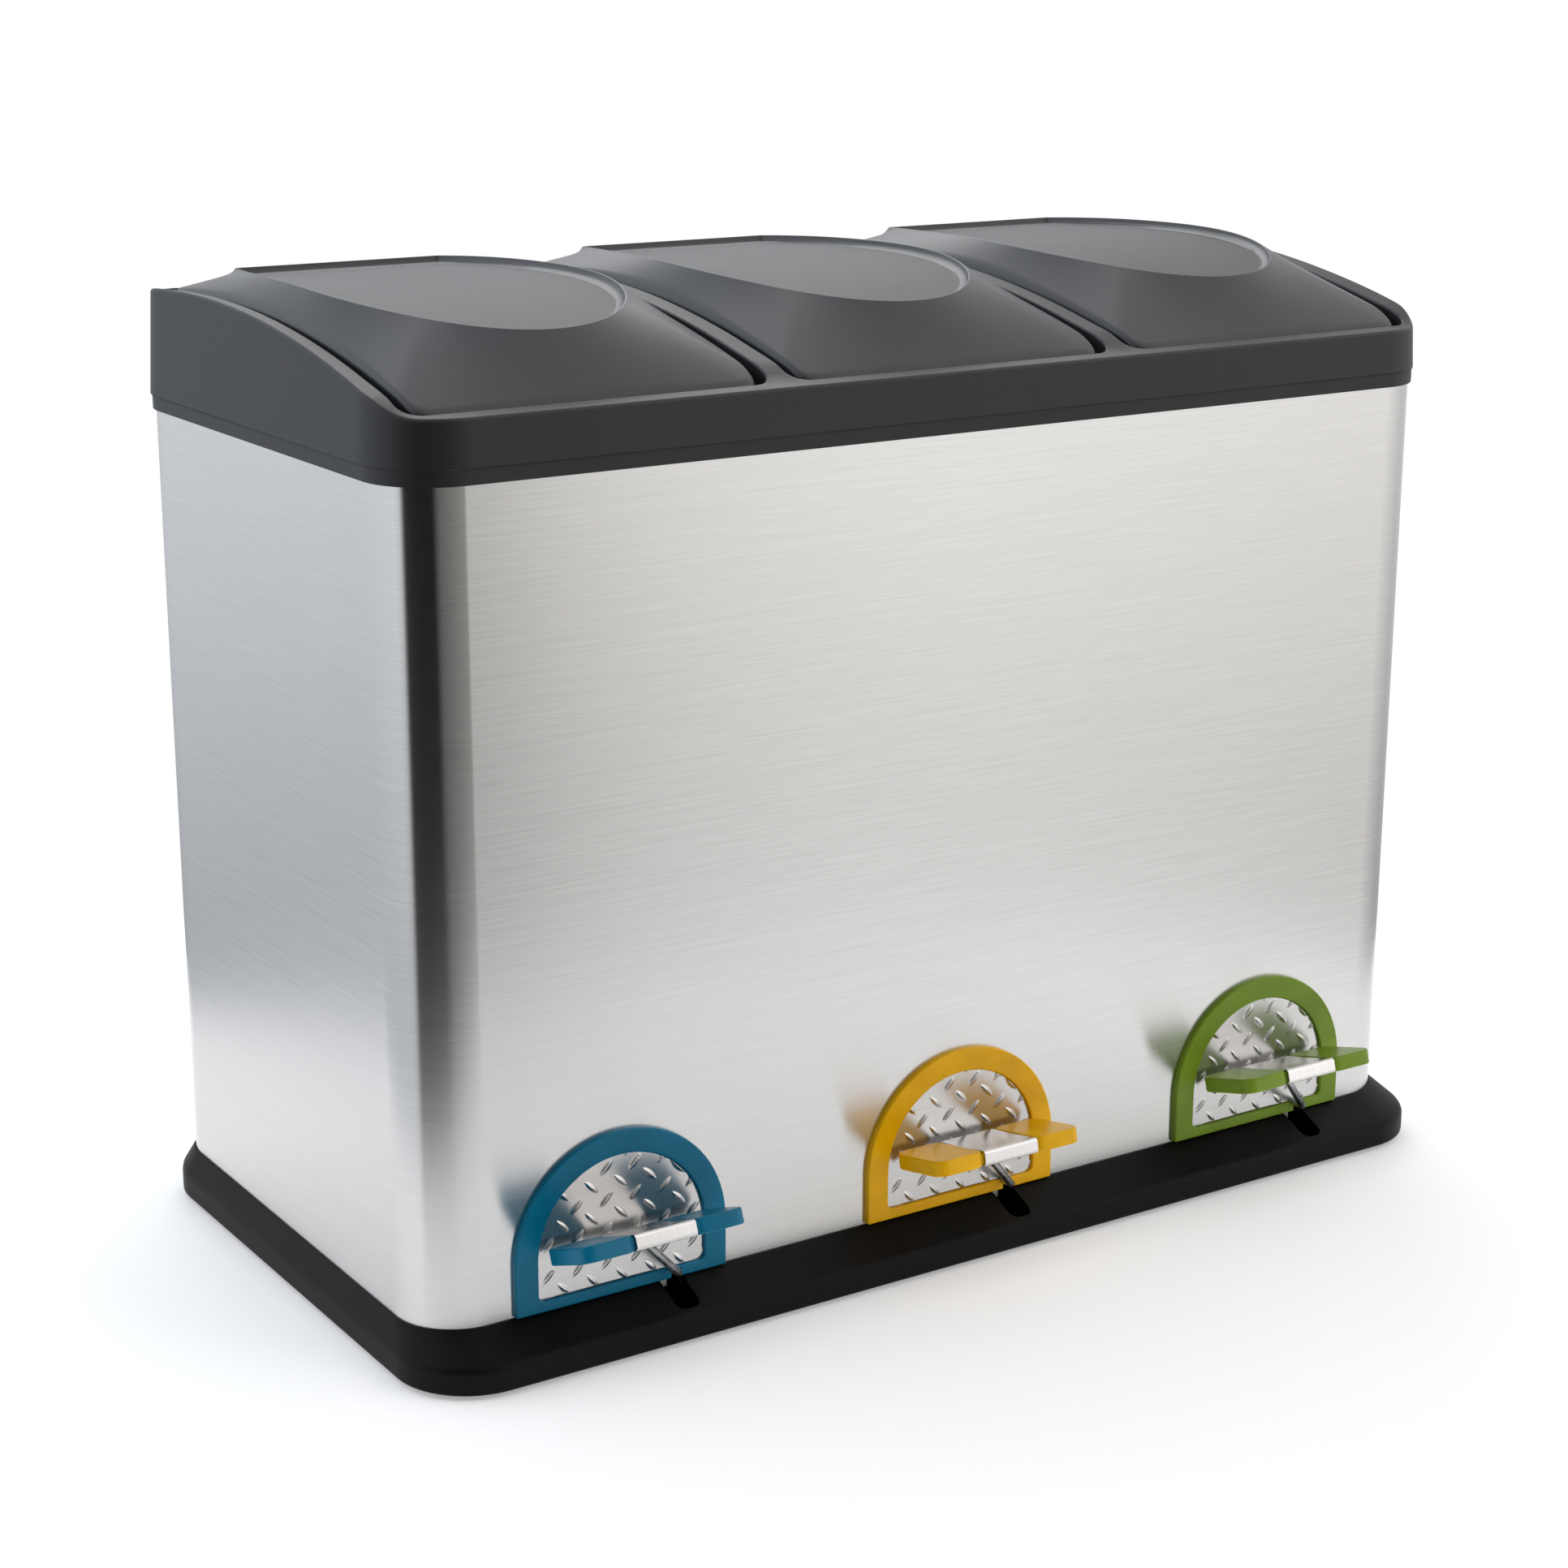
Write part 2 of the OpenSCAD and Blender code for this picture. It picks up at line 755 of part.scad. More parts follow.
// strap under the lid's rear, with two knuckles on the hinge pins and a nose over the lift rod
module lid_hinge(i) {
    color(charcoal) in_bay(i) difference() {
        union() {
            translate([-strap_half, strap_y, strap_z]) cube([2 * strap_half, strap_w, strap_t]);
            for (x = [-post_x, post_x]) translate([x, 0, 0]) post();
            for (x = [-strap_half, strap_half - knuckle_w]) translate([x, 0, 0]) {
                translate([0, strap_y, strap_z]) cube([knuckle_w, hinge_y - strap_y, strap_t]);
                translate([0, hinge_y, hinge_z]) bar_x(0, knuckle_w, 2 * barrel_r);
                translate([0, hinge_y - barrel_r, strap_z]) cube([knuckle_w, barrel_r, hinge_z - strap_z]);
            }
            translate([lever_x - nose_w / 2, nose_y, nose_z]) bar_x(0, nose_w, 2 * nose_r);
            translate([lever_x - nose_w / 2, nose_y - nose_r, nose_z])
                cube([nose_w, 2 * nose_r, strap_z + 1 - nose_z]);
        }
        translate([0, hinge_y, hinge_z]) bar_x(-80, 80, pin_d + 2 * run_gap);
    }
}

base_plinth();
rubber_feet();
body_shell();
bucket_shelf();
shelf_screws();
top_frame();
frame_screws();
bracket_screws();
for (i = [0:2]) {
    tread_plate(i);
    surround(i);
    bucket(i);
    pivot_bracket(i);
    pivot_pin(i);
    rod_guides(i);
    hinge_pins(i);
    lever_rod(i);
    lever_hub(i);
    pedal_pad(i);
    pedal_clip(i);
    lift_rod(i);
    lift_caps(i);
    lid(i);
    lid_hinge(i);
}
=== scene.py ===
import math

import bmesh
import bpy
import numpy as np
from mathutils import Matrix, Vector
from mathutils.geometry import delaunay_2d_cdt


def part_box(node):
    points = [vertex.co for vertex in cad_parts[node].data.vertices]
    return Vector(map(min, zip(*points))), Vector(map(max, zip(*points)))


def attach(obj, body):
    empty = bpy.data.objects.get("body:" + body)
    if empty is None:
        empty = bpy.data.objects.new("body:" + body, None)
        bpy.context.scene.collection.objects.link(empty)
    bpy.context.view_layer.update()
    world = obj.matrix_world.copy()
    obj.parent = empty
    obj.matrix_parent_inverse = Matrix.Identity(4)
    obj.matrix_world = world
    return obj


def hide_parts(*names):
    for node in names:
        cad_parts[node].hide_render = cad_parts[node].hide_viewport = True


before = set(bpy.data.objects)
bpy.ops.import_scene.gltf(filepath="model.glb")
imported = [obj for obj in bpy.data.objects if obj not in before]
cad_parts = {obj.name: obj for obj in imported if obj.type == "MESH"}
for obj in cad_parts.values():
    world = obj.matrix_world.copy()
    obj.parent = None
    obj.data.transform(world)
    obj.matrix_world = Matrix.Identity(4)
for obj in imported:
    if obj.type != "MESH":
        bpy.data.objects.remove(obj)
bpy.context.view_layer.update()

# Shapes are worked out in millimetres, with Y counted from the steel body's front face.
MM = 0.001
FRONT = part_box("body_shell")[0].y / MM
BAYS = ("left", "middle", "right")
TINTS = {"left": "blue", "middle": "yellow", "right": "green"}


def box_mm(node):
    """A CAD node's lowest and highest corner, in millimetres from the body's front face."""
    low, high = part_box(node)
    shift = Vector((0, FRONT, 0))
    return low / MM - shift, high / MM - shift


def bay_x(bay):
    """The middle of a compartment."""
    low, high = box_mm(bay + "_surround")
    return (low.x + high.x) / 2


# ---- meshes ----

class Shape:
    """Points in millimetres and faces with a material number, for one piece."""

    def __init__(self):
        self.points, self.faces, self.kinds = [], [], []

    def ring(self, points):
        start = len(self.points)
        self.points.extend(Vector(p) for p in points)
        return list(range(start, len(self.points)))

    def face(self, ids, kind=0):
        self.faces.append(tuple(ids))
        self.kinds.append(kind)

    def loft(self, rings, kind=0, closed=False):
        """Quads between each ring of points and the next, and back to the first if closed."""
        made = [self.ring(r) for r in rings]
        pairs = list(zip(made, made[1:])) + ([(made[-1], made[0])] if closed else [])
        for a, b in pairs:
            for k in range(len(a)):
                n = (k + 1) % len(a)
                self.face((a[k], a[n], b[n], b[k]), kind)
        return made

    def add(self, other, move=None, kind=None):
        """Another shape's points, moved by a function, and its faces."""
        start = len(self.points)
        self.points.extend(move(p) if move else p for p in other.points)
        for ids, k in zip(other.faces, other.kinds):
            self.face([start + i for i in ids], k if kind is None else kind)
        return self


def to_object(name, shape, x=0.0, materials=(), sharp=35):
    """A mesh object from a shape, placed in the row frame, with outward faces and smooth curves."""
    mesh = bpy.data.meshes.new(name)
    shift = Vector((x, FRONT, 0))
    mesh.from_pydata([(p + shift) * MM for p in shape.points], [], shape.faces)
    mesh.polygons.foreach_set("material_index", shape.kinds)
    bm = bmesh.new()
    bm.from_mesh(mesh)
    bmesh.ops.remove_doubles(bm, verts=bm.verts, dist=2e-6)
    bmesh.ops.recalc_face_normals(bm, faces=bm.faces)
    bm.to_mesh(mesh)
    bm.free()
    mesh.polygons.foreach_set("use_smooth", [True] * len(mesh.polygons))
    mesh.set_sharp_from_angle(angle=math.radians(sharp))
    obj = bpy.data.objects.new(name, mesh)
    bpy.context.scene.collection.objects.link(obj)
    for m in materials:
        mesh.materials.append(m)
    return obj


def weigh_normals(obj):
    """Keeps large flat faces flat beside small rounded edges."""
    mod = obj.modifiers.new("normals", "WEIGHTED_NORMAL")
    mod.keep_sharp = True
    mod.weight = 80


def cut(obj, cutter):
    """Takes one object's shape out of another's."""
    mod = obj.modifiers.new("cut", "BOOLEAN")
    mod.operation = "DIFFERENCE"
    mod.solver = "EXACT"
    mod.object = cutter
    graph = bpy.context.evaluated_depsgraph_get()
    mesh = bpy.data.meshes.new_from_object(obj.evaluated_get(graph))
    obj.modifiers.remove(mod)
    obj.data = mesh
    mesh.set_sharp_from_angle(angle=math.radians(35))
    bpy.data.objects.remove(cutter)


def place(obj, body, slot, *nodes):
    """Rides a piece on its body and hides the CAD nodes that it stands for."""
    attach(obj, body)
    if nodes:
        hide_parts(*nodes)
    return obj


# ---- outlines ----

def rounded(x0, x1, y0, y1, r, arc=12, nx=1, ny=1):
    """Rounded rectangle, anticlockwise from its right side, as a list of (x, y)."""
    out = []
    corners = ((x1 - r, y1 - r, 0), (x0 + r, y1 - r, 90), (x0 + r, y0 + r, 180), (x1 - r, y0 + r, 270))
    last = (x1, y0 + r)
    for number, (cx, cy, start) in enumerate(corners):
        parts = nx if number % 2 else ny
        first = (cx + r * math.cos(math.radians(start)), cy + r * math.sin(math.radians(start)))
        for k in range(parts):
            t = k / parts
            out.append((last[0] + (first[0] - last[0]) * t, last[1] + (first[1] - last[1]) * t))
        for k in range(arc):
            a = math.radians(start + 90 * k / arc)
            out.append((cx + r * math.cos(a), cy + r * math.sin(a)))
        last = (cx + r * math.cos(math.radians(start + 90)), cy + r * math.sin(math.radians(start + 90)))
    return out


def mixed(a, b, t):
    """Outline part of the way from one outline to another."""
    return [(p[0] + (q[0] - p[0]) * t, p[1] + (q[1] - p[1]) * t) for p, q in zip(a, b)]


def at_height(outline, z):
    return [(x, y, z) for x, y in outline]


def inset(outline, d):
    """Anticlockwise outline pulled in by a distance."""
    out, n = [], len(outline)
    for k in range(n):
        before, here, after = Vector(outline[k - 1]), Vector(outline[k]), Vector(outline[(k + 1) % n])
        e1, e2 = (here - before).normalized(), (after - here).normalized()
        n1, n2 = Vector((-e1.y, e1.x)), Vector((-e2.y, e2.x))
        m = (n1 + n2).normalized()
        out.append(tuple(here + m * (d / max(0.4, m.dot(n1)))))
    return out


def inside(points, outline):
    """Which of many points lie inside an outline."""
    hit = np.zeros(len(points), bool)
    px, py = points[:, 0], points[:, 1]
    for (x0, y0), (x1, y1) in zip(outline, outline[1:] + outline[:1]):
        if y0 == y1:
            continue
        crosses = (y0 > py) != (y1 > py)
        hit ^= crosses & (px < (x1 - x0) * (py - y0) / (y1 - y0) + x0)
    return hit


def filled(shape, outer, holes, step, lift, kind=0):
    """Triangles over an outline and round its holes, with inner points on a grid, raised by a function."""
    loops = [outer, *holes]
    points, edges = [], []
    for loop in loops:
        start = len(points)
        points.extend(loop)
        edges.extend((start + k, start + (k + 1) % len(loop)) for k in range(len(loop)))
    low, high = np.min(outer, axis=0), np.max(outer, axis=0)
    gx = np.arange(low[0] + step[0], high[0], step[0])
    gy = np.arange(low[1] + step[1], high[1], step[1])
    grid = np.array([(x, y) for x in gx for y in gy])
    margin = 0.35 * min(step)
    keep = inside(grid, inset(outer, margin))
    for hole in holes:
        keep &= ~inside(grid, inset(hole, -margin))
    points.extend(map(tuple, grid[keep]))
    made = delaunay_2d_cdt([Vector(p) for p in points], edges, [], 0, 1e-6)
    flat, faces = made[0], made[2]
    middle = np.array([sum((flat[i] for i in f), Vector((0, 0))) / len(f) for f in faces])
    wanted = inside(middle, outer)
    for hole in holes:
        wanted &= ~inside(middle, hole)
    ids = shape.ring([lift(p.x, p.y) for p in flat])
    for f, good in zip(faces, wanted):
        if good:
            shape.face([ids[i] for i in f], kind)


def prism(outline, z0, z1, fillet, steps=4):
    """Solid on a convex outline between two heights, with rounded upper and lower edges."""
    shape = Shape()
    rings = []
    for k in range(steps + 1):
        a = math.radians(90 * k / steps)
        rings.append(at_height(inset(outline, fillet * (1 - math.sin(a))), z0 + fillet * (1 - math.cos(a))))
    for k in range(steps + 1):
        a = math.radians(90 * k / steps)
        rings.append(at_height(inset(outline, fillet * (1 - math.cos(a))), z1 - fillet * (1 - math.sin(a))))
    made = shape.loft(rings)
    shape.face(list(reversed(made[0])))
    shape.face(made[-1])
    return shape


def tube(path, r, sides=20):
    """Round rod along a path of points, with slightly rounded ends."""
    points = [Vector(p) for p in path]
    heads = [(points[min(k + 1, len(points) - 1)] - points[max(k - 1, 0)]).normalized()
             for k in range(len(points))]
    side = heads[0].orthogonal().normalized()
    shape, rings = Shape(), []
    for k, (p, head) in enumerate(zip(points, heads)):
        side = (side - head * side.dot(head)).normalized()
        other = head.cross(side)
        circle = [p + (side * math.cos(a) + other * math.sin(a)) * r
                  for a in (2 * math.pi * j / sides for j in range(sides))]
        if k == 0:
            rings.append([p + (q - p) * 0.8 for q in circle])
            rings.append([q + head * 0.4 for q in circle])
        elif k == len(points) - 1:
            rings.append([q - head * 0.4 for q in circle])
            rings.append([p + (q - p) * 0.8 for q in circle])
        else:
            rings.append(circle)
    made = shape.loft(rings)
    shape.face(list(reversed(made[0])))
    shape.face(made[-1])
    return shape


def bent(points, r, steps=8):
    """Path through points, with an arc of a radius at each inner one."""
    p = [Vector(q) for q in points]
    out = [p[0]]
    for a, b, c in zip(p, p[1:], p[2:]):
        u, v = (a - b).normalized(), (c - b).normalized()
        half = u.angle(v) / 2
        reach = r / math.tan(half)
        middle = b + (u + v).normalized() * (r / math.sin(half))
        start, end = b + u * reach - middle, b + v * reach - middle
        for k in range(steps + 1):
            out.append(middle + start.slerp(end, k / steps))
    out.append(p[-1])
    return out


# ---- materials ----

def nodes_of(material):
    material.use_nodes = True
    tree = material.node_tree
    return tree, tree.nodes["Principled BSDF"]


def texture(tree, kind, scale, stretch=(1, 1, 1), **values):
    """Procedural texture over the object's own coordinates, in metres."""
    coord = tree.nodes.new("ShaderNodeTexCoord")
    mapping = tree.nodes.new("ShaderNodeMapping")
    mapping.inputs["Scale"].default_value = stretch
    made = tree.nodes.new(kind)
    made.inputs["Scale"].default_value = scale
    for name, value in values.items():
        made.inputs[name.replace("_", " ")].default_value = value
    tree.links.new(coord.outputs["Object"], mapping.inputs["Vector"])
    tree.links.new(mapping.outputs["Vector"], made.inputs["Vector"])
    return made


def ramp(tree, source, stops):
    """Colour ramp over a texture's value."""
    made = tree.nodes.new("ShaderNodeValToRGB")
    elements = made.color_ramp.elements
    for element, (place_on, colour) in zip(elements, (stops[0], stops[-1])):
        element.position = place_on
        element.color = (*colour, 1)
    for place_on, colour in stops[1:-1]:
        elements.new(place_on).color = (*colour, 1)
    tree.links.new(source, made.inputs["Fac"])
    return made.outputs["Color"]


def spread(tree, source, low, high):
    """A texture's value moved to another range."""
    made = tree.nodes.new("ShaderNodeMapRange")
    made.inputs["From Min"].default_value = 0.3
    made.inputs["From Max"].default_value = 0.7
    made.inputs["To Min"].default_value = low
    made.inputs["To Max"].default_value = high
    tree.links.new(source, made.inputs["Value"])
    return made.outputs["Result"]


def bump(tree, shader, source, distance, strength=1.0, under=None):
    made = tree.nodes.new("ShaderNodeBump")
    made.inputs["Distance"].default_value = distance
    made.inputs["Strength"].default_value = strength
    tree.links.new(source, made.inputs["Height"])
    if under:
        tree.links.new(under.outputs["Normal"], made.inputs["Normal"])
    tree.links.new(made.outputs["Normal"], shader.inputs["Normal"])
    return made


def tinted(colour, share):
    return tuple(min(1, c * share) for c in colour)


def moulded(name, colour, rough, grain, depth, gloss=0.5, wide=18):
    """Moulded plastic: a fine grain of a given size in millimetres, with faint broad unevenness."""
    material = bpy.data.materials.new(name)
    tree, shader = nodes_of(material)
    shader.inputs["Specular IOR Level"].default_value = gloss
    fine = texture(tree, "ShaderNodeTexNoise", 1 / (grain * MM), Detail=3.0, Roughness=0.6)
    broad = texture(tree, "ShaderNodeTexNoise", wide, Detail=2.0)
    shades = [(0.3, tinted(colour, 0.93)), (0.7, tinted(colour, 1.07))]
    tree.links.new(ramp(tree, broad.outputs["Fac"], shades), shader.inputs["Base Color"])
    tree.links.new(spread(tree, fine.outputs["Fac"], rough - 0.05, rough + 0.06), shader.inputs["Roughness"])
    bump(tree, shader, fine.outputs["Fac"], depth * MM)
    return material


def brushed(name, colour, rough, turn, stretch, streak=900, aniso=0.75):
    """Brushed metal: long streaks across the stretched axis, rougher across them than along them."""
    material = bpy.data.materials.new(name)
    tree, shader = nodes_of(material)
    shader.inputs["Metallic"].default_value = 1
    shader.inputs["Anisotropic"].default_value = aniso
    shader.inputs["Anisotropic Rotation"].default_value = turn
    tangent = tree.nodes.new("ShaderNodeTangent")
    tangent.direction_type = "RADIAL"
    tangent.axis = "Z"
    tree.links.new(tangent.outputs["Tangent"], shader.inputs["Tangent"])
    lines = texture(tree, "ShaderNodeTexNoise", streak, stretch, Detail=4.0, Roughness=0.65)
    shades = [(0.2, tinted(colour, 0.93)), (0.8, tinted(colour, 1.06))]
    tree.links.new(ramp(tree, lines.outputs["Fac"], shades), shader.inputs["Base Color"])
    tree.links.new(spread(tree, lines.outputs["Fac"], rough - 0.01, rough + 0.01), shader.inputs["Roughness"])
    bump(tree, shader, lines.outputs["Fac"], 0.0015 * MM)
    return material


def plated(name, colour, rough):
    """Zinc-plated rod or screw: a smooth metal with a faint cloudy tone."""
    material = bpy.data.materials.new(name)
    tree, shader = nodes_of(material)
    shader.inputs["Metallic"].default_value = 1
    cloud = texture(tree, "ShaderNodeTexNoise", 160, Detail=3.0)
    shades = [(0.3, tinted(colour, 0.8)), (0.7, tinted(colour, 1.15))]
    tree.links.new(ramp(tree, cloud.outputs["Fac"], shades), shader.inputs["Base Color"])
    tree.links.new(spread(tree, cloud.outputs["Fac"], rough - 0.06, rough + 0.08), shader.inputs["Roughness"])
    bump(tree, shader, cloud.outputs["Fac"], 0.02 * MM)
    return material


def tinted_plastic(name, colour):
    """Coloured, slightly translucent polypropylene with a soft gloss."""
    material = bpy.data.materials.new(name)
    tree, shader = nodes_of(material)
    shader.inputs["Subsurface Weight"].default_value = 0.25
    shader.inputs["Subsurface Radius"].default_value = colour
    shader.inputs["Subsurface Scale"].default_value = 2.5 * MM
    shader.inputs["Specular IOR Level"].default_value = 0.2
    shader.inputs["Coat Weight"].default_value = 0.03
    shader.inputs["Coat Roughness"].default_value = 0.25
    flow = texture(tree, "ShaderNodeTexNoise", 60, Detail=2.0)
    fine = texture(tree, "ShaderNodeTexNoise", 1500, Detail=2.0)
    shades = [(0.3, tinted(colour, 0.92)), (0.7, tinted(colour, 1.08))]
    tree.links.new(ramp(tree, flow.outputs["Fac"], shades), shader.inputs["Base Color"])
    tree.links.new(spread(tree, flow.outputs["Fac"], 0.3, 0.38), shader.inputs["Roughness"])
    bump(tree, shader, fine.outputs["Fac"], 0.01 * MM)
    return material


ALONG_WALLS = (0.012, 0.012, 1)
FRAME_PLASTIC = moulded("frame_grained", (0.021, 0.023, 0.025), 0.50, 0.5, 0.05, 0.45)
LID_SATIN = moulded("lid_satin", (0.026, 0.029, 0.033), 0.40, 0.35, 0.008, 0.5)
LID_GRAIN = moulded("lid_grained", (0.040, 0.043, 0.046), 0.55, 0.45, 0.045, 0.5)
BASE_PLASTIC = moulded("base_black", (0.003, 0.003, 0.003), 0.5, 0.6, 0.03, 0.12)
INNER_PLASTIC = moulded("inner_dark", (0.018, 0.019, 0.020), 0.45, 0.8, 0.02, 0.45)
FOOT_RUBBER = moulded("foot_rubber", (0.012, 0.012, 0.012), 0.8, 0.7, 0.05, 0.3)
BODY_STEEL = brushed("body_brushed", (0.66, 0.655, 0.645), 0.20, 0.25, ALONG_WALLS, 1600, 0.94)
TREAD_STEEL = brushed("tread_satin", (0.62, 0.61, 0.60), 0.26, 0.25, ALONG_WALLS, 1200, 0.3)
CLIP_STEEL = brushed("clip_brushed", (0.66, 0.65, 0.64), 0.24, 0.0, (1, 0.02, 0.02), 1600, 0.5)
ROD_STEEL = plated("rod_zinc", (0.50, 0.52, 0.53), 0.3)
ZINC = plated("fixing_zinc", (0.5, 0.51, 0.52), 0.35)
COLOURS = {
    "blue": tinted_plastic("blue_plastic", (0.0, 0.155, 0.27)),
    "yellow": tinted_plastic("yellow_plastic", (0.87, 0.47, 0.0)),
    "green": tinted_plastic("green_plastic", (0.20, 0.315, 0.022)),
}


# ---- base ----

ROD_SIDE = 28
SLOT_W = 9
SLOT_SIDE = 3.5


def slot_cutter(centres, half, y0, y1, z0, z1, side=0.0):
    """Upright blocks with rounded fronts, for the slots that the lever rods pass through."""
    shape = Shape()
    for x in centres:
        block = prism(rounded(x - half - side, x + half, y0, y1, half * 0.98, 8), z0, z1, 0.01, 1)
        shape.add(block)
    return to_object("cutter", shape)


def make_base():
    low, high = box_mm("base_plinth")
    body_low, body_high = box_mm("body_shell")
    outer = rounded(low.x, high.x, low.y, high.y, 38, 16)
    collar = rounded(body_low.x - 1.2, body_high.x + 1.2, body_low.y - 1.2, body_high.y + 1.2, 32.2, 16)
    groove = rounded(body_low.x - 0.2, body_high.x + 0.2, body_low.y - 0.2, body_high.y + 0.2, 31.2, 16)
    rim = rounded(body_low.x + 1.5, body_high.x - 1.5, body_low.y + 1.5, body_high.y - 1.5, 29.5, 16)
    top, foot, floor = 24.5, low.z, 5.0
    crease = [(0, 11.6), (0.006, 12.7), (0.03, 13.8), (0.07, 14.8), (0.12, 15.7)]
    slope = [(t, 15.7 + (top - 0.5 - 15.7) * (t - 0.12) / 0.84) for t in (0.3, 0.5, 0.7, 0.85, 0.96)]
    rings = [at_height(inset(outer, 2.2), foot), at_height(inset(outer, 0.7), foot + 0.25),
             at_height(inset(outer, 0.15), foot + 0.9), at_height(outer, foot + 1.8)]
    rings += [at_height(mixed(outer, collar, t), z) for t, z in crease + slope]
    rings += [at_height(collar, top - 0.15), at_height(inset(collar, 0.4), top), at_height(groove, top - 0.2)]
    rings += [at_height(groove, 20), at_height(rim, 20), at_height(rim, 31.6), at_height(inset(rim, 0.4), 32)]
    rings += [at_height(inset(rim, 2.1), 32), at_height(inset(rim, 2.5), 31.6)]
    rings += [at_height(inset(rim, 2.5), floor + 2), at_height(inset(rim, 3.1), floor + 0.6)]
    rings += [at_height(inset(rim, 4.5), floor)]
    shape = Shape()
    made = shape.loft(rings)
    shape.face(list(reversed(made[0])))
    shape.face(made[-1])
    base = to_object("base_moulding", shape, 0, [BASE_PLASTIC])
    cut(base, slot_cutter([bay_x(b) + ROD_SIDE for b in BAYS], SLOT_W / 2, -19, 12, 9, 60, SLOT_SIDE))
    weigh_normals(base)
    place(base, "cabinet", "base_black", "base_plinth")


# ---- steel body ----

def make_body():
    low, high = box_mm("body_shell")
    outer = rounded(low.x, high.x, low.y, high.y, 31, 24, 12, 6)
    heights = [low.z, low.z + 0.3, *[low.z + (high.z - low.z) * k / 10 for k in range(1, 10)],
               high.z - 0.3, high.z]
    rings = [at_height(inset(outer, 0.3), heights[0])]
    rings += [at_height(outer, z) for z in heights[1:-1]]
    rings += [at_height(inset(outer, 0.3), high.z), at_height(inset(outer, 1), high.z)]
    rings += [at_height(inset(outer, 1), low.z)]
    shape = Shape()
    shape.loft(rings, closed=True)
    body = to_object("body_wrap", shape, 0, [BODY_STEEL], 50)
    cut(body, slot_cutter([bay_x(b) + ROD_SIDE for b in BAYS], 3.5, -5, 7, 10, 31))
    weigh_normals(body)
    place(body, "cabinet", "brushed_steel", "body_shell")


# ---- top frame ----

ARCH_Y, RISE_Y0, RISE_Y1, ARCH_R = 205.0, 5.0, 28.0, 690.0
LEDGE_Z, SHOULDER_Z = 432.5, 463.5


def arch(y):
    return SHOULDER_Z - ARCH_R + math.sqrt(ARCH_R ** 2 - (ARCH_Y - y) ** 2)


def shoulder(y):
    """Height of the frame's top: front ledge, rise, arch."""
    if y >= RISE_Y1:
        return arch(y)
    if y <= RISE_Y0:
        return LEDGE_Z
    t = (y - RISE_Y0) / (RISE_Y1 - RISE_Y0)
    slope = (ARCH_Y - RISE_Y1) / ARCH_R
    climb = (arch(RISE_Y1) - LEDGE_Z) * (3 * t * t - 2 * t ** 3)
    return LEDGE_Z + climb + (RISE_Y1 - RISE_Y0) * slope * (t ** 3 - t * t)


OPEN_HALF, OPEN_FRONT, OPEN_REAR, OPEN_R = 90.0, 10.0, 282.0, 10.0
HOLE_ROUND, EDGE_ROUND, FRAME_T, FRAME_WALL = 1.2, 1.7, 2.6, 4.0
FLANGE_DROP, FLANGE_T, FLANGE_W = 10.0, 1.5, 8.0
LIP_OVER, WALL_OVER, LIP_H = 1.6, 3.0, 7.0
SEAT_LOW, SEAT_TOP = 422.6, 425.8
LEAN = math.tan(math.radians(3))


def top(x, y):
    """Height of the frame's upper face, which leans a little towards the lids beside its outer edge."""
    far = max(0.0, min(1.0, (y - RISE_Y0) / 40))
    edge = max(0.0, min(1.0, (abs(x) - 281) / 10))
    return shoulder(y) + far * (1.6 * edge - 1.0)


def under(outline, drop):
    """Outline laid a distance below the frame's upper face."""
    return [(x, y, top(x, y) - drop) for x, y in outline]


def on_wall(outline, foot, drop, extra):
    """Outline on the frame's leaning wall, a distance below its upper face and further in by another."""
    out = []
    for (x, y), (u, v) in zip(outline, inset(outline, 1.0)):
        d = max(0.0, top(x, y) - drop - foot) * LEAN + extra
        px, py = x + (u - x) * d, y + (v - y) * d
        out.append((px, py, top(px, py) - drop))
    return out


def flat(ring):
    return [(x, y) for x, y, _ in ring]


def opening(x, side, rear=None):
    """Outline of a lid opening, wider by a margin at the front and sides, and by another at the rear."""
    rear = side if rear is None else rear
    r = max(2.0, OPEN_R + side)
    half = OPEN_HALF + side
    return rounded(x - half, x + half, OPEN_FRONT - side, OPEN_REAR + rear, r, 12, 10, 44)


def opening_wall(shape, x):
    """Rolled edge, wall and seat flange round one opening."""
    rings = []
    for k in range(6):
        a = math.radians(90 * k / 5)
        rings.append(under(opening(x, HOLE_ROUND * (1 - math.sin(a))), HOLE_ROUND * (1 - math.cos(a))))
    rings += [under(opening(x, 0), FLANGE_DROP)]
    rings += [under(opening(x, -FLANGE_W + 0.3, 0), FLANGE_DROP)]
    rings += [under(opening(x, -FLANGE_W, 0), FLANGE_DROP + 0.4)]
    rings += [under(opening(x, -FLANGE_W, 0), FLANGE_DROP + FLANGE_T)]
    rings += [under(opening(x, 1.8), FLANGE_DROP + FLANGE_T), under(opening(x, 1.8), FRAME_T)]
    shape.loft(rings)


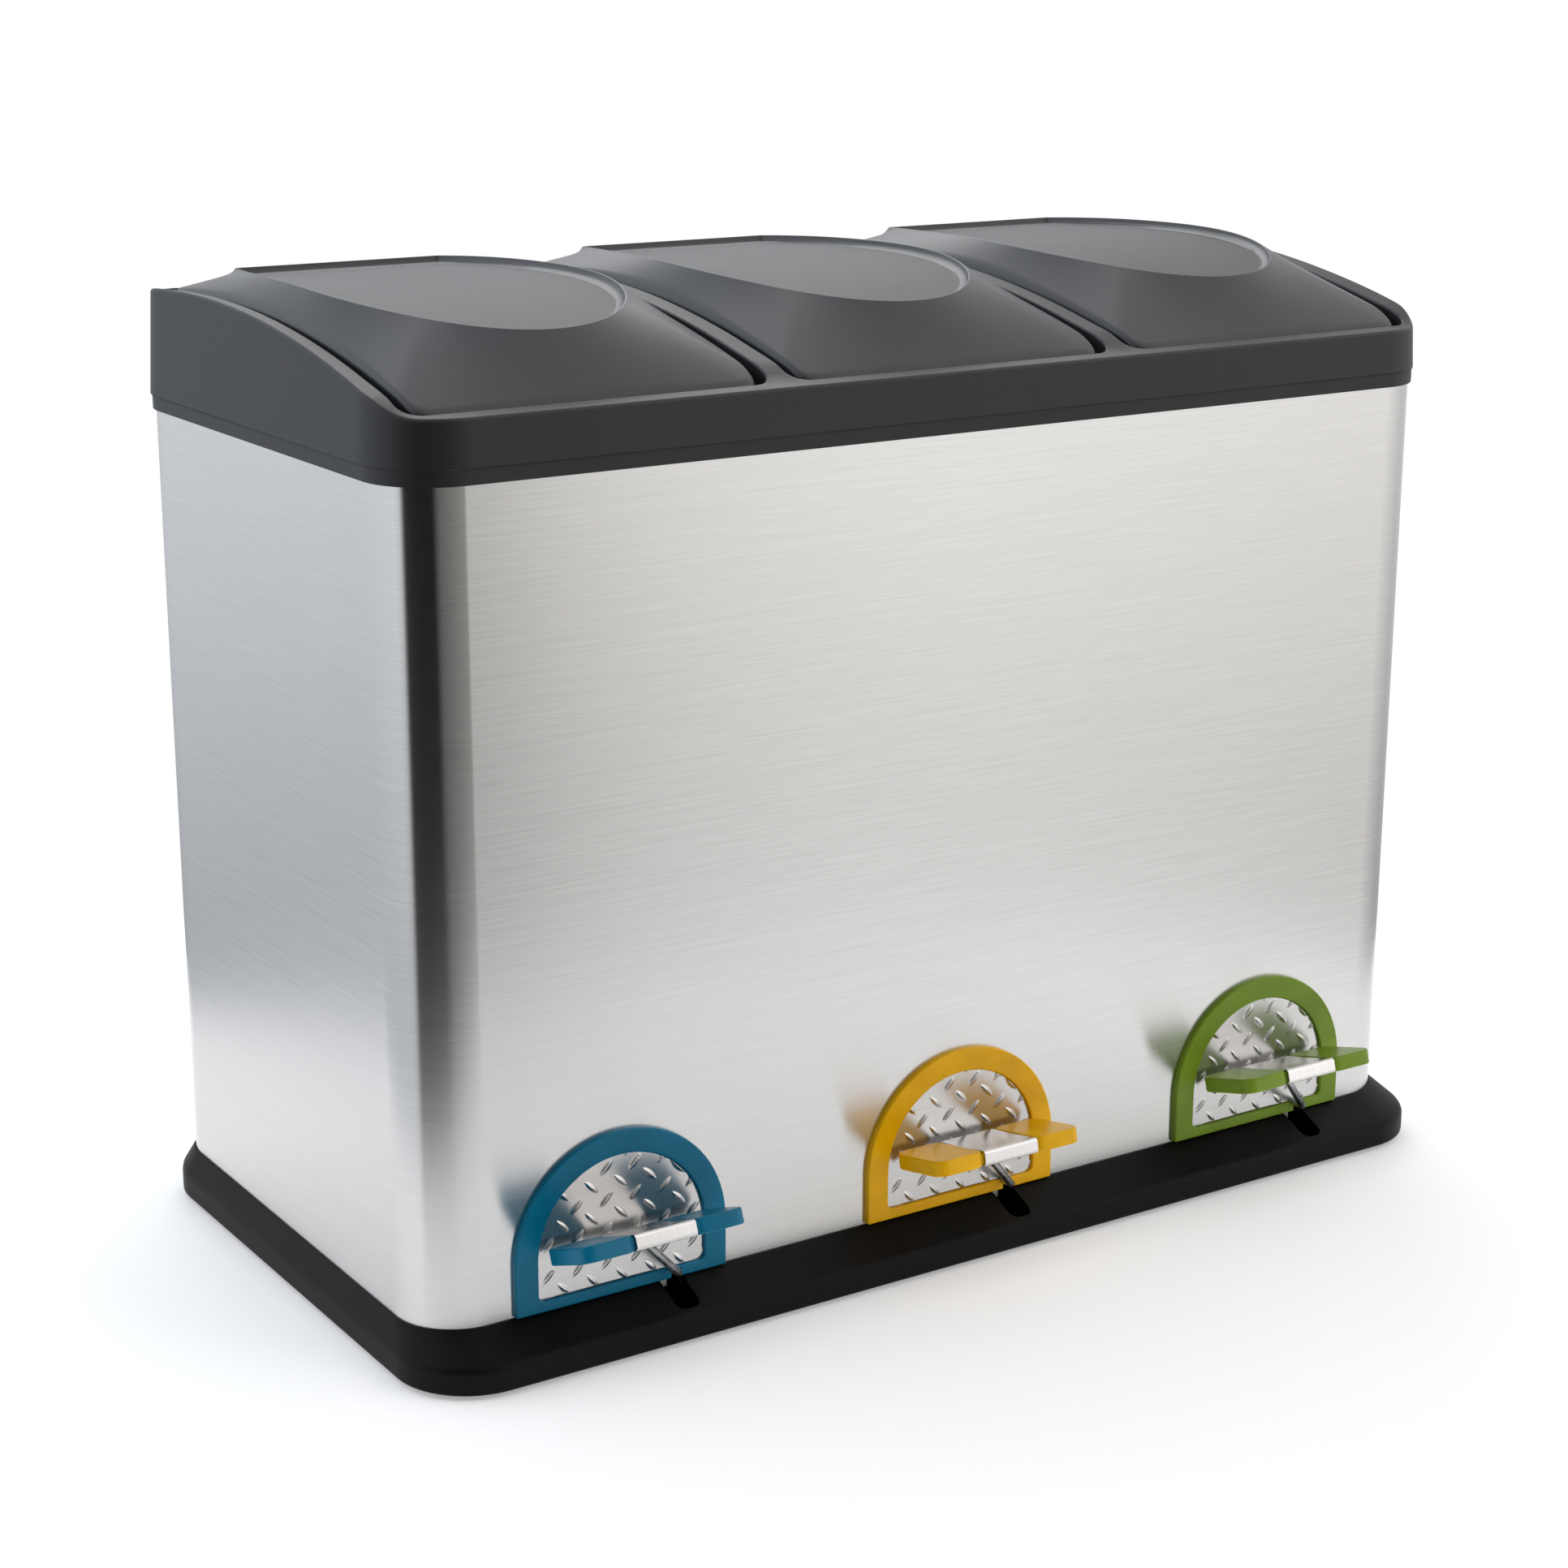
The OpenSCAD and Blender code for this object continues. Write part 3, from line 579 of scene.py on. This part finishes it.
def outer_wall(shape, body, lip_z, body_top):
    """Leaning outer wall of the frame, the step and lip below it and the inner face behind it."""
    def outline(over, r):
        return rounded(body[0] - over, body[1] + over, body[2] - over, body[3] + over, r, 16, 40, 40)

    wide, lip, clear = outline(WALL_OVER, 36.0), outline(LIP_OVER, 32.6), outline(0.3, 31.3)
    foot = lip_z + LIP_H
    rings = [at_height(clear, body_top + 0.3), at_height(clear, lip_z + 0.2)]
    rings += [at_height(inset(clear, -0.2), lip_z), at_height(inset(lip, 0.4), lip_z)]
    rings += [at_height(inset(lip, 0.1), lip_z + 0.12)]
    rings += [at_height(lip, lip_z + 0.4), at_height(lip, foot - 0.3)]
    rings += [at_height(mixed(lip, wide, 0.6), foot - 0.1), at_height(wide, foot + 0.5)]
    for k in range(6):
        a = math.radians(90 * k / 5)
        rings.append(on_wall(wide, foot, EDGE_ROUND * (1 - math.sin(a)), EDGE_ROUND * (1 - math.cos(a))))
    shape.loft(rings)
    inner = on_wall(wide, foot, FRAME_T, FRAME_WALL)
    shape.loft([rings[0], at_height(inset(wide, FRAME_WALL), body_top + 0.3), inner])
    return flat(rings[-1]), flat(inner)


def hinge_lug(shape, x0, x1, y, z):
    """Round-ended lug that holds a hinge pin, joined to the frame's rear wall."""
    outline = [(0, -4)] + [(-4 * math.sin(a), -4 * math.cos(a)) for a in
                           (math.radians(180 * k / 16) for k in range(1, 16))] + [(0, 4), (7.5, 4), (7.5, -4)]
    lug = prism(list(reversed(outline)), x0, x1, 0.5, 2)
    shape.add(lug, lambda p: Vector((p.z, y + p.x, z + p.y)))


def seat_pads(shape, x):
    """Two low pads that the lid's front edge rests on."""
    for side in (-60, 60):
        outline = rounded(x + side - 5, x + side + 5, LID_FRONT, LID_FRONT + 3, 0.8, 4)
        shape.add(prism(outline, SEAT_LOW, SEAT_TOP, 0.3, 2))


def make_frame():
    low, high = box_mm("top_frame")
    body_low, body_high = box_mm("body_shell")
    pin_low, pin_high = box_mm("left_hinge_pins")
    centres = [bay_x(b) for b in BAYS]
    shape = Shape()
    body = (body_low.x, body_high.x, body_low.y, body_high.y)
    upper, lower = outer_wall(shape, body, low.z, body_high.z)
    for x in centres:
        opening_wall(shape, x)
    filled(shape, upper, [opening(x, HOLE_ROUND) for x in centres], (9, 5), lambda x, y: (x, y, top(x, y)))
    filled(shape, lower, [opening(x, 1.8) for x in centres], (14, 6),
           lambda x, y: (x, y, top(x, y) - FRAME_T))
    for x in centres:
        seat_pads(shape, x)
        for side in (-1, 1):
            ends = sorted((x + side * 62, x + side * 70))
            hinge_lug(shape, *ends, (pin_low.y + pin_high.y) / 2, (pin_low.z + pin_high.z) / 2)
    obj = to_object("frame_moulding", shape, 0, [FRAME_PLASTIC])
    weigh_normals(obj)
    place(obj, "cabinet", "frame_charcoal", "top_frame")


# ---- lids ----

LID_HALF, LID_FRONT, LID_MID, LID_REAR = 85.5, 11.5, 140.0, 272.4
CREST_HALF, CREST_FRONT, CREST_REAR, CREST_Z, CREST_Y = 72.0, 44.5, 265.0, 471.3, 165.0
LID_SINK, HEM, LID_T, EDGE_W, EDGE_H = 3.5, 4.0, 2.0, 4.0, 2.5
COVE_W, COVE_H, DISH_SAG = 7.5, 3.5, 1.5
AROUND = 320


def crest_z(y):
    return CREST_Z - (y - CREST_Y) ** 2 * (0.00084 if y < CREST_Y else 0.00035)


def crest(a):
    """Point of the crest line at an angle, counted from the front."""
    reach = LID_MID - CREST_FRONT if math.cos(a) > 0 else 188.0
    return Vector((CREST_HALF * math.sin(a), min(CREST_REAR, LID_MID - reach * math.cos(a))))


def rim(p, power=24):
    """Point of the lid's edge beyond a point of the crest."""
    v = p - Vector((0, LID_MID))
    length = LID_MID - LID_FRONT if v.y < 0 else LID_REAR - LID_MID
    reach = (abs(v.x) / LID_HALF) ** power + (abs(v.y) / length) ** power
    return Vector((0, LID_MID)) + v * reach ** (-1 / power)


def rim_z(y):
    return shoulder(y) - LID_SINK


def flank(c, d=None, share=1.0):
    """Point of the flank, at a distance from the edge or at a share of the way to the crest."""
    r = rim(c)
    length, z = (c - r).length, rim_z(r.y)
    d = EDGE_W + (length - EDGE_W) * share if d is None else d
    q = r + (c - r) * (d / length)
    rise = EDGE_H * math.sqrt(1 - (1 - min(1, d / EDGE_W)) ** 2)
    return Vector((q.x, q.y, z + rise + (crest_z(c.y) - z - EDGE_H) * d / length))


def pulled(p, d, drop=0.0):
    """Point pulled towards the lid's middle by a distance, and lowered."""
    v = Vector((p.x, p.y - LID_MID))
    v *= (v.length - d) / v.length
    return Vector((v.x, v.y + LID_MID, p.z - drop))


def dish(c, s):
    """Point of the dish, from its middle (0) to the foot of the cove (1)."""
    middle = Vector((0, LID_MID + 15))
    foot = pulled(Vector((c.x, c.y, 0)), COVE_W).xy
    q = middle + (foot - middle) * s
    return Vector((q.x, q.y, crest_z(q.y) - COVE_H - DISH_SAG * (1 - s * s)))


def lid_rings():
    """Rings of the lid's upper face with their materials: hem, flank, crest, cove and dish."""
    crests = [crest(2 * math.pi * k / AROUND) for k in range(AROUND)]
    rings = [([flank(c, 0) - Vector((0, 0, HEM)) for c in crests], 0)]
    rings += [([flank(c, 0) for c in crests], 0)]
    for k in range(1, 8):
        rings.append(([flank(c, EDGE_W * (1 - math.cos(math.radians(90 * k / 7)))) for c in crests], 0))
    for k in range(1, 19):
        rings.append(([flank(c, None, 0.985 * k / 18) for c in crests], 0))
    for d, rise in ((0.15, 0.12), (0.5, 0.22), (0.9, 0.1)):
        rings.append(([pulled(Vector((c.x, c.y, crest_z(c.y) + rise)), d) for c in crests], 0))
    for k in range(1, 9):
        a = math.radians(90 * k / 8)
        d, drop = 1.1 + (COVE_W - 1.1) * (1 - math.cos(a)), COVE_H * math.sin(a)
        ring = []
        for c in crests:
            p = pulled(Vector((c.x, c.y, 0)), d)
            ring.append(dish(c, 1) if k == 8 else Vector((p.x, p.y, crest_z(p.y) - drop)))
        rings.append((ring, 0 if k < 7 else 1))
    for s in (0.9, 0.75, 0.6, 0.45, 0.3, 0.15, 0.05):
        rings.append(([dish(c, s) for c in crests], 1))
    return rings


def lid_shape():
    """Lid with its hem, and its lower face a wall's thickness further in."""
    shape = Shape()
    upper = lid_rings()
    made = [shape.ring(r) for r, _ in upper]
    for (a, b), (_, kind) in zip(zip(made, made[1:]), upper[1:]):
        for k in range(AROUND):
            n = (k + 1) % AROUND
            shape.face((a[k], a[n], b[n], b[k]), kind)
    shape.face(made[-1], 1)
    inner = [[pulled(p, LID_T) for p in upper[0][0]]]
    inner += [[pulled(p, LID_T, LID_T) for p in ring] for ring, _ in upper[5:27:3]]
    inner += [[pulled(p, 0.6, LID_T) for p in ring] for ring, _ in upper[-7:]]
    below = shape.loft([upper[0][0], *inner], 0)
    shape.face(list(reversed(below[-1])), 0)
    return shape


def make_lid(bay, shape):
    lid = to_object(bay + "_lid_moulding", shape, bay_x(bay), [LID_SATIN, LID_GRAIN], 42)
    weigh_normals(lid)
    place(lid, bay + "_lid_body", "lid_charcoal", bay + "_lid")


# ---- surrounds and tread plates ----

RING_W, RING_AXIS, RING_T, SILL = 11.7, 48.6, 3.0, 5.5


def arch_outline(half, foot, r, arc=40):
    """Flat-bottomed arch with rounded bottom corners, anticlockwise, as (x, z)."""
    out = [(half * math.cos(a), RING_AXIS + half * math.sin(a)) for a in
           (math.pi * k / arc for k in range(arc + 1))]
    for cx, start in ((-half + r, 180), (half - r, 270)):
        for k in range(7):
            a = math.radians(start + 15 * k)
            out.append((cx + r * math.cos(a), foot + r + r * math.sin(a)))
    return out


def upright(outline, y):
    """Outline in the XZ plane, at a depth."""
    return [(x, y, z) for x, z in outline]


def surround_shape(foot, half):
    shape, rings = Shape(), []
    edge, inner_foot, inner_half = 0.9, foot + SILL, half - RING_W
    rings.append(upright(arch_outline(half, foot, 0.8), 0))
    for k in range(5):
        a = math.radians(90 * k / 4)
        d = edge * (1 - math.cos(a))
        rings.append(upright(arch_outline(half - d, foot + d, 0.8), -RING_T + edge * (1 - math.sin(a))))
    for k in range(5):
        a = math.radians(90 * k / 4)
        d = edge * (1 - math.sin(a))
        ring = arch_outline(inner_half + d, inner_foot - d, 3 + d)
        rings.append(upright(ring, -RING_T + edge * (1 - math.cos(a))))
    rings.append(upright(arch_outline(inner_half, inner_foot, 3), 0))
    shape.loft(rings, closed=True)
    return shape


def make_surround(bay):
    low, high = box_mm(bay + "_surround")
    shape = surround_shape(low.z, (high.x - low.x) / 2)
    ring = to_object(bay + "_surround_ring", shape, bay_x(bay), [COLOURS[TINTS[bay]]])
    cut(ring, slot_cutter([bay_x(bay) + ROD_SIDE], 2.7, -9, 5, 10, 29.4))
    weigh_normals(ring)
    place(ring, "cabinet", TINTS[bay] + "_plastic", bay + "_surround")


BAR_GAP, BAR_HALF, BAR_WIDE, BAR_H = 7.6, 4.7, 1.5, 0.85


def tread(x, z):
    """Height of the raised lens-shaped bars, which turn by a quarter from row to row."""
    height = 0.0
    row0, column0 = round(z / BAR_GAP), round(x / BAR_GAP)
    for row in (row0 - 1, row0, row0 + 1):
        for column in (column0 - 1, column0, column0 + 1):
            if (row + column) % 2:
                continue
            dx, dz = x - column * BAR_GAP, z - row * BAR_GAP
            turn = 1 if row % 2 else -1
            u, v = (dx + turn * dz) / math.sqrt(2), (dz - turn * dx) / math.sqrt(2)
            lens = 1 - (u / BAR_HALF) ** 2
            if lens > 0.02 and abs(v) < BAR_WIDE * lens:
                height += BAR_H * lens ** 0.7 * (0.5 + 0.5 * math.cos(math.pi * v / (BAR_WIDE * lens)))
    return height


def tread_shape(low, high):
    shape = Shape()
    half, face = (high.x - low.x) / 2, low.y
    outline = arch_outline(half, low.z, 2.9)
    filled(shape, outline, [], (0.55, 0.55), lambda x, z: (x, face - tread(x, z - RING_AXIS), z))
    edge = [(x, face - tread(x, z - RING_AXIS), z) for x, z in outline]
    made = shape.loft([edge, upright(outline, 0)])
    shape.face(made[1])
    return shape


def make_tread(bay, shape):
    plate = to_object(bay + "_tread_sheet", shape, bay_x(bay), [TREAD_STEEL], 60)
    place(plate, "cabinet", "tread_steel", bay + "_tread_plate")


# ---- pedals ----

PAD_TILT = {"left": 22.0, "middle": 12.0, "right": 16.0}
PAD_D, PAD_T, PAD_HALF, CLIP_HALF = 38.0, 7.6, 42.5, 15.7


def on_pad(bay):
    """Function that places a point of a pad, given across, along and out of its upper face."""
    low, high = box_mm(bay + "_pedal_pad")
    middle = (low + high) / 2
    middle.x = 0
    turn = Matrix.Rotation(math.radians(-PAD_TILT[bay]), 3, "X")
    return lambda p: middle + turn @ (p + Vector((0, 0, PAD_T / 2)))


def wing_outline():
    """One wing of a pad: rounded outer corners, and corners cut back beside the clip."""
    half, near, r = PAD_D / 2, CLIP_HALF + 0.4, 6.5
    out = [(near, half - 2.4), (near, -half + 2.4), (near + 3.4, -half)]
    for cx, cy, start in ((PAD_HALF - r, -half + r, 270), (PAD_HALF - r, half - r, 0)):
        for k in range(9):
            a = math.radians(start + 90 * k / 8)
            out.append((cx + r * math.cos(a), cy + r * math.sin(a)))
    out.append((near + 3.4, half))
    return out


def pad_shape(bay):
    wing = prism(wing_outline(), -PAD_T, 0, 0.9, 4)
    core = prism(rounded(-CLIP_HALF - 4, CLIP_HALF + 4, -17.5, 17.5, 1, 4), -PAD_T + 1.2, -1.2, 0.2, 2)
    shape, move = Shape(), on_pad(bay)
    shape.add(wing, move)
    shape.add(wing, lambda p: move(Vector((-p.x, p.y, p.z))))
    shape.add(core, move)
    return shape


def clip_section(d):
    """Section of the clip along the pad, pulled in by a distance, with a slightly dished top."""
    half = PAD_D / 2
    loop = rounded(-half + d, half - d, -PAD_T + d, -d, 1.6 - d * 0.8, 6, 12, 1)
    out = []
    for v, w in loop:
        sag = 0.5 * max(0.0, 1 - (v / (half - 3)) ** 2) if w > -PAD_T / 2 else 0.0
        out.append((v, w - sag))
    return out


def clip_shape(bay):
    shape, move = Shape(), on_pad(bay)
    places = [(-CLIP_HALF, 0.2), (-CLIP_HALF + 0.2, 0), (-5, 0), (5, 0), (CLIP_HALF - 0.2, 0),
              (CLIP_HALF, 0.2), (CLIP_HALF, 0.75), (0, 0.75), (-CLIP_HALF, 0.75)]
    rings = [[move(Vector((u, v, w))) for v, w in clip_section(d)] for u, d in places]
    shape.loft(rings, closed=True)
    return shape


def rod_shape(bay):
    high = box_mm(bay + "_lever_rod")[1]
    level, rear = 27.5, high.y
    top = on_pad(bay)(Vector((0, 2, -PAD_T + 0.3)))
    path = bent([(ROD_SIDE, rear, level), (ROD_SIDE, -13.0, level), top], 5)
    return tube(path, 2.0)


def make_pedal(bay):
    tint, body = TINTS[bay], bay + "_pedal"
    pad = to_object(bay + "_pad_wings", pad_shape(bay), bay_x(bay), [COLOURS[tint]])
    weigh_normals(pad)
    place(pad, body, tint + "_plastic", bay + "_pedal_pad")
    clip = to_object(bay + "_pad_clip", clip_shape(bay), bay_x(bay), [CLIP_STEEL])
    weigh_normals(clip)
    place(clip, body, "clip_steel", bay + "_pedal_clip")
    rod = to_object(bay + "_bent_rod", rod_shape(bay), bay_x(bay), [ROD_STEEL])
    place(rod, body, "rod_steel", bay + "_lever_rod")


# ---- buckets ----

def make_bucket(bay):
    low, high = box_mm(bay + "_bucket")
    x = bay_x(bay)

    def level(d, z):
        """Outline a distance inside the rim's outer edge, at a height."""
        return at_height(rounded(low.x - x + d, high.x - x - d, low.y + d, high.y - d, 24 - d * 0.6, 10), z)

    foot, top = low.z, high.z
    rings = [level(14, foot), level(11.5, foot + 0.7), level(10, foot + 3)]
    rings += [level(3.4, top - 16), level(3, top - 6), level(2.4, top - 5), level(0.6, top - 4.6)]
    rings += [level(0, top - 4), level(0, top - 1), level(0.4, top - 0.2), level(1.2, top)]
    rings += [level(3.6, top), level(4.6, top - 0.5), level(5, top - 2)]
    rings += [level(12, foot + 5), level(13.5, foot + 2.9), level(16, foot + 2.2)]
    shape = Shape()
    made = shape.loft(rings)
    shape.face(list(reversed(made[0])))
    shape.face(made[-1])
    bucket = to_object(bay + "_bucket_moulding", shape, x, [INNER_PLASTIC])
    weigh_normals(bucket)
    place(bucket, "cabinet", "inner_plastic", bay + "_bucket")


# ---- CAD nodes that stay ----

def soften(obj, width):
    """Small bevels on a CAD piece's sharp edges."""
    flat = obj.modifiers.new("flat", "DECIMATE")
    flat.decimate_type = "DISSOLVE"
    flat.angle_limit = math.radians(1)
    edge = obj.modifiers.new("edge", "BEVEL")
    edge.width = width * MM
    edge.segments = 2
    edge.angle_limit = math.radians(40)


def finish_cad_nodes():
    """Materials for the CAD nodes that show as they are."""
    plain = {"rubber_feet": FOOT_RUBBER, "bucket_shelf": INNER_PLASTIC, "shelf_screws": ZINC,
             "frame_screws": ZINC, "bracket_screws": ZINC}
    by_end = {"pivot_bracket": ZINC, "pivot_pin": ZINC, "rod_guides": INNER_PLASTIC, "hinge_pins": ZINC,
              "lever_hub": INNER_PLASTIC, "lift_rod": ROD_STEEL, "lift_caps": INNER_PLASTIC,
              "lid_hinge": LID_SATIN}
    for bay in BAYS:
        plain.update({f"{bay}_{end}": material for end, material in by_end.items()})
    for name, material in plain.items():
        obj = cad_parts[name]
        obj.data.materials.clear()
        obj.data.materials.append(material)
        soften(obj, 0.3)


# ---- studio ----

def make_world():
    """Even pale backdrop, and behind it a studio with a dark gap ahead of the bin's left half."""
    world = bpy.data.worlds.new("studio")
    bpy.context.scene.world = world
    world.use_nodes = True
    tree = world.node_tree
    tree.nodes.clear()
    coord = tree.nodes.new("ShaderNodeTexCoord")
    axes = tree.nodes.new("ShaderNodeSeparateXYZ")
    turn = tree.nodes.new("ShaderNodeMath")
    turn.operation = "ARCTAN2"
    share = tree.nodes.new("ShaderNodeMapRange")
    share.inputs["From Min"].default_value = -math.pi
    share.inputs["From Max"].default_value = math.pi
    tree.links.new(coord.outputs["Generated"], axes.inputs[0])
    tree.links.new(axes.outputs["Y"], turn.inputs[0])
    tree.links.new(axes.outputs["X"], turn.inputs[1])
    tree.links.new(turn.outputs[0], share.inputs["Value"])
    turns = [(-180, (0.92, 0.96, 1.03)), (-171, (0.80, 0.82, 0.84)), (-164, (0.02, 0.02, 0.02)),
             (-118, (0.008, 0.008, 0.008)), (-108, (0.16, 0.16, 0.155)), (-66, (0.34, 0.335, 0.325)),
             (-60, (1.05, 1.03, 1.02)), (-54, (1.2, 1.19, 1.18)), (-44, (1.05, 1.03, 1.02)),
             (0, (0.7, 0.7, 0.7)), (80, (0.6, 0.62, 0.65)), (120, (0.84, 0.88, 0.95)),
             (180, (0.92, 0.96, 1.03))]
    around = ramp(tree, share.outputs[0], [((a + 180) / 360, c) for a, c in turns])
    level = tree.nodes.new("ShaderNodeMapRange")
    level.inputs["From Min"].default_value = -1
    tree.links.new(axes.outputs["Z"], level.inputs["Value"])
    heights = [(-0.6, 0.25), (-0.35, 0.5), (-0.2, 0.95), (0.0, 1.35), (0.4, 1.7), (0.8, 1.4), (1.0, 1.4)]
    tall = ramp(tree, level.outputs[0], [((z + 1) / 2, (v, v, v)) for z, v in heights])
    both_ways = tree.nodes.new("ShaderNodeMix")
    both_ways.data_type = "RGBA"
    both_ways.blend_type = "MULTIPLY"
    both_ways.inputs["Factor"].default_value = 1
    # the mix node's colours are its inputs 6 and 7, and its output 2
    tree.links.new(around, both_ways.inputs[6])
    tree.links.new(tall, both_ways.inputs[7])
    studio = tree.nodes.new("ShaderNodeBackground")
    tree.links.new(both_ways.outputs[2], studio.inputs["Color"])
    pale = tree.nodes.new("ShaderNodeBackground")
    pale.inputs["Color"].default_value = (1, 1, 1, 1)
    path = tree.nodes.new("ShaderNodeLightPath")
    both = tree.nodes.new("ShaderNodeMixShader")
    out = tree.nodes.new("ShaderNodeOutputWorld")
    tree.links.new(path.outputs["Is Camera Ray"], both.inputs[0])
    tree.links.new(studio.outputs[0], both.inputs[1])
    tree.links.new(pale.outputs[0], both.inputs[2])
    tree.links.new(both.outputs[0], out.inputs["Surface"])


def make_floor():
    shape = Shape()
    r = 560
    made = shape.ring([(r * math.cos(a), r * math.sin(a) - FRONT, 0) for a in
                       (2 * math.pi * k / 128 for k in range(128))])
    shape.face(made)
    material = bpy.data.materials.new("floor_pale")
    tree, shader = nodes_of(material)
    shader.inputs["Base Color"].default_value = (0.92, 0.92, 0.92, 1)
    shader.inputs["Emission Color"].default_value = (1, 1, 1, 1)
    shader.inputs["Emission Strength"].default_value = 0.3
    shader.inputs["Roughness"].default_value = 0.8
    shader.inputs["Specular IOR Level"].default_value = 0.1
    to_object("floor", shape, 0, [material])


def make_light(name, place_at, aim, size, power, colour=(1, 1, 1)):
    data = bpy.data.lights.new(name, "AREA")
    data.shape = "RECTANGLE"
    data.size, data.size_y = size
    data.energy = power
    data.color = colour
    light = bpy.data.objects.new(name, data)
    light.location = place_at
    light.rotation_euler = (Vector(aim) - Vector(place_at)).to_track_quat("-Z", "Y").to_euler()
    bpy.context.scene.collection.objects.link(light)


def make_camera():
    """Camera at the height and turn of the reference view, with a long lens."""
    azimuth, elevation, roll = math.radians(-32.97), math.radians(15.78), math.radians(0.10)
    back = Vector((math.sin(azimuth) * math.cos(elevation), -math.cos(azimuth) * math.cos(elevation),
                   math.sin(elevation)))
    right = Vector((0, 0, 1)).cross(back).normalized()
    up = back.cross(right)
    across = right * math.cos(roll) + up * math.sin(roll)
    upward = up * math.cos(roll) - right * math.sin(roll)
    data = bpy.data.cameras.new("camera")
    data.sensor_width = 36
    data.lens = 70.27
    camera = bpy.data.objects.new("camera", data)
    spot = Vector((-829.25, -1120.84 + FRONT, 629.5)) * MM
    camera.matrix_world = Matrix.Translation(spot) @ Matrix((across, upward, back)).transposed().to_4x4()
    bpy.context.scene.collection.objects.link(camera)
    bpy.context.scene.camera = camera


def make_studio():
    make_world()
    make_floor()
    make_light("rear_light", (0.9, 2.0, 1.9), (0, 0, 0.4), (1.6, 1.0), 14)
    make_camera()
    bpy.context.scene.view_settings.view_transform = "Standard"


def make_bin():
    make_base()
    make_body()
    make_frame()
    lid = lid_shape()
    sheet = tread_shape(*[v - Vector((bay_x("left"), 0, 0)) for v in box_mm("left_tread_plate")])
    for bay in BAYS:
        make_surround(bay)
        make_tread(bay, sheet)
        make_bucket(bay)
        make_pedal(bay)
        make_lid(bay, lid)
    finish_cad_nodes()


make_bin()
make_studio()
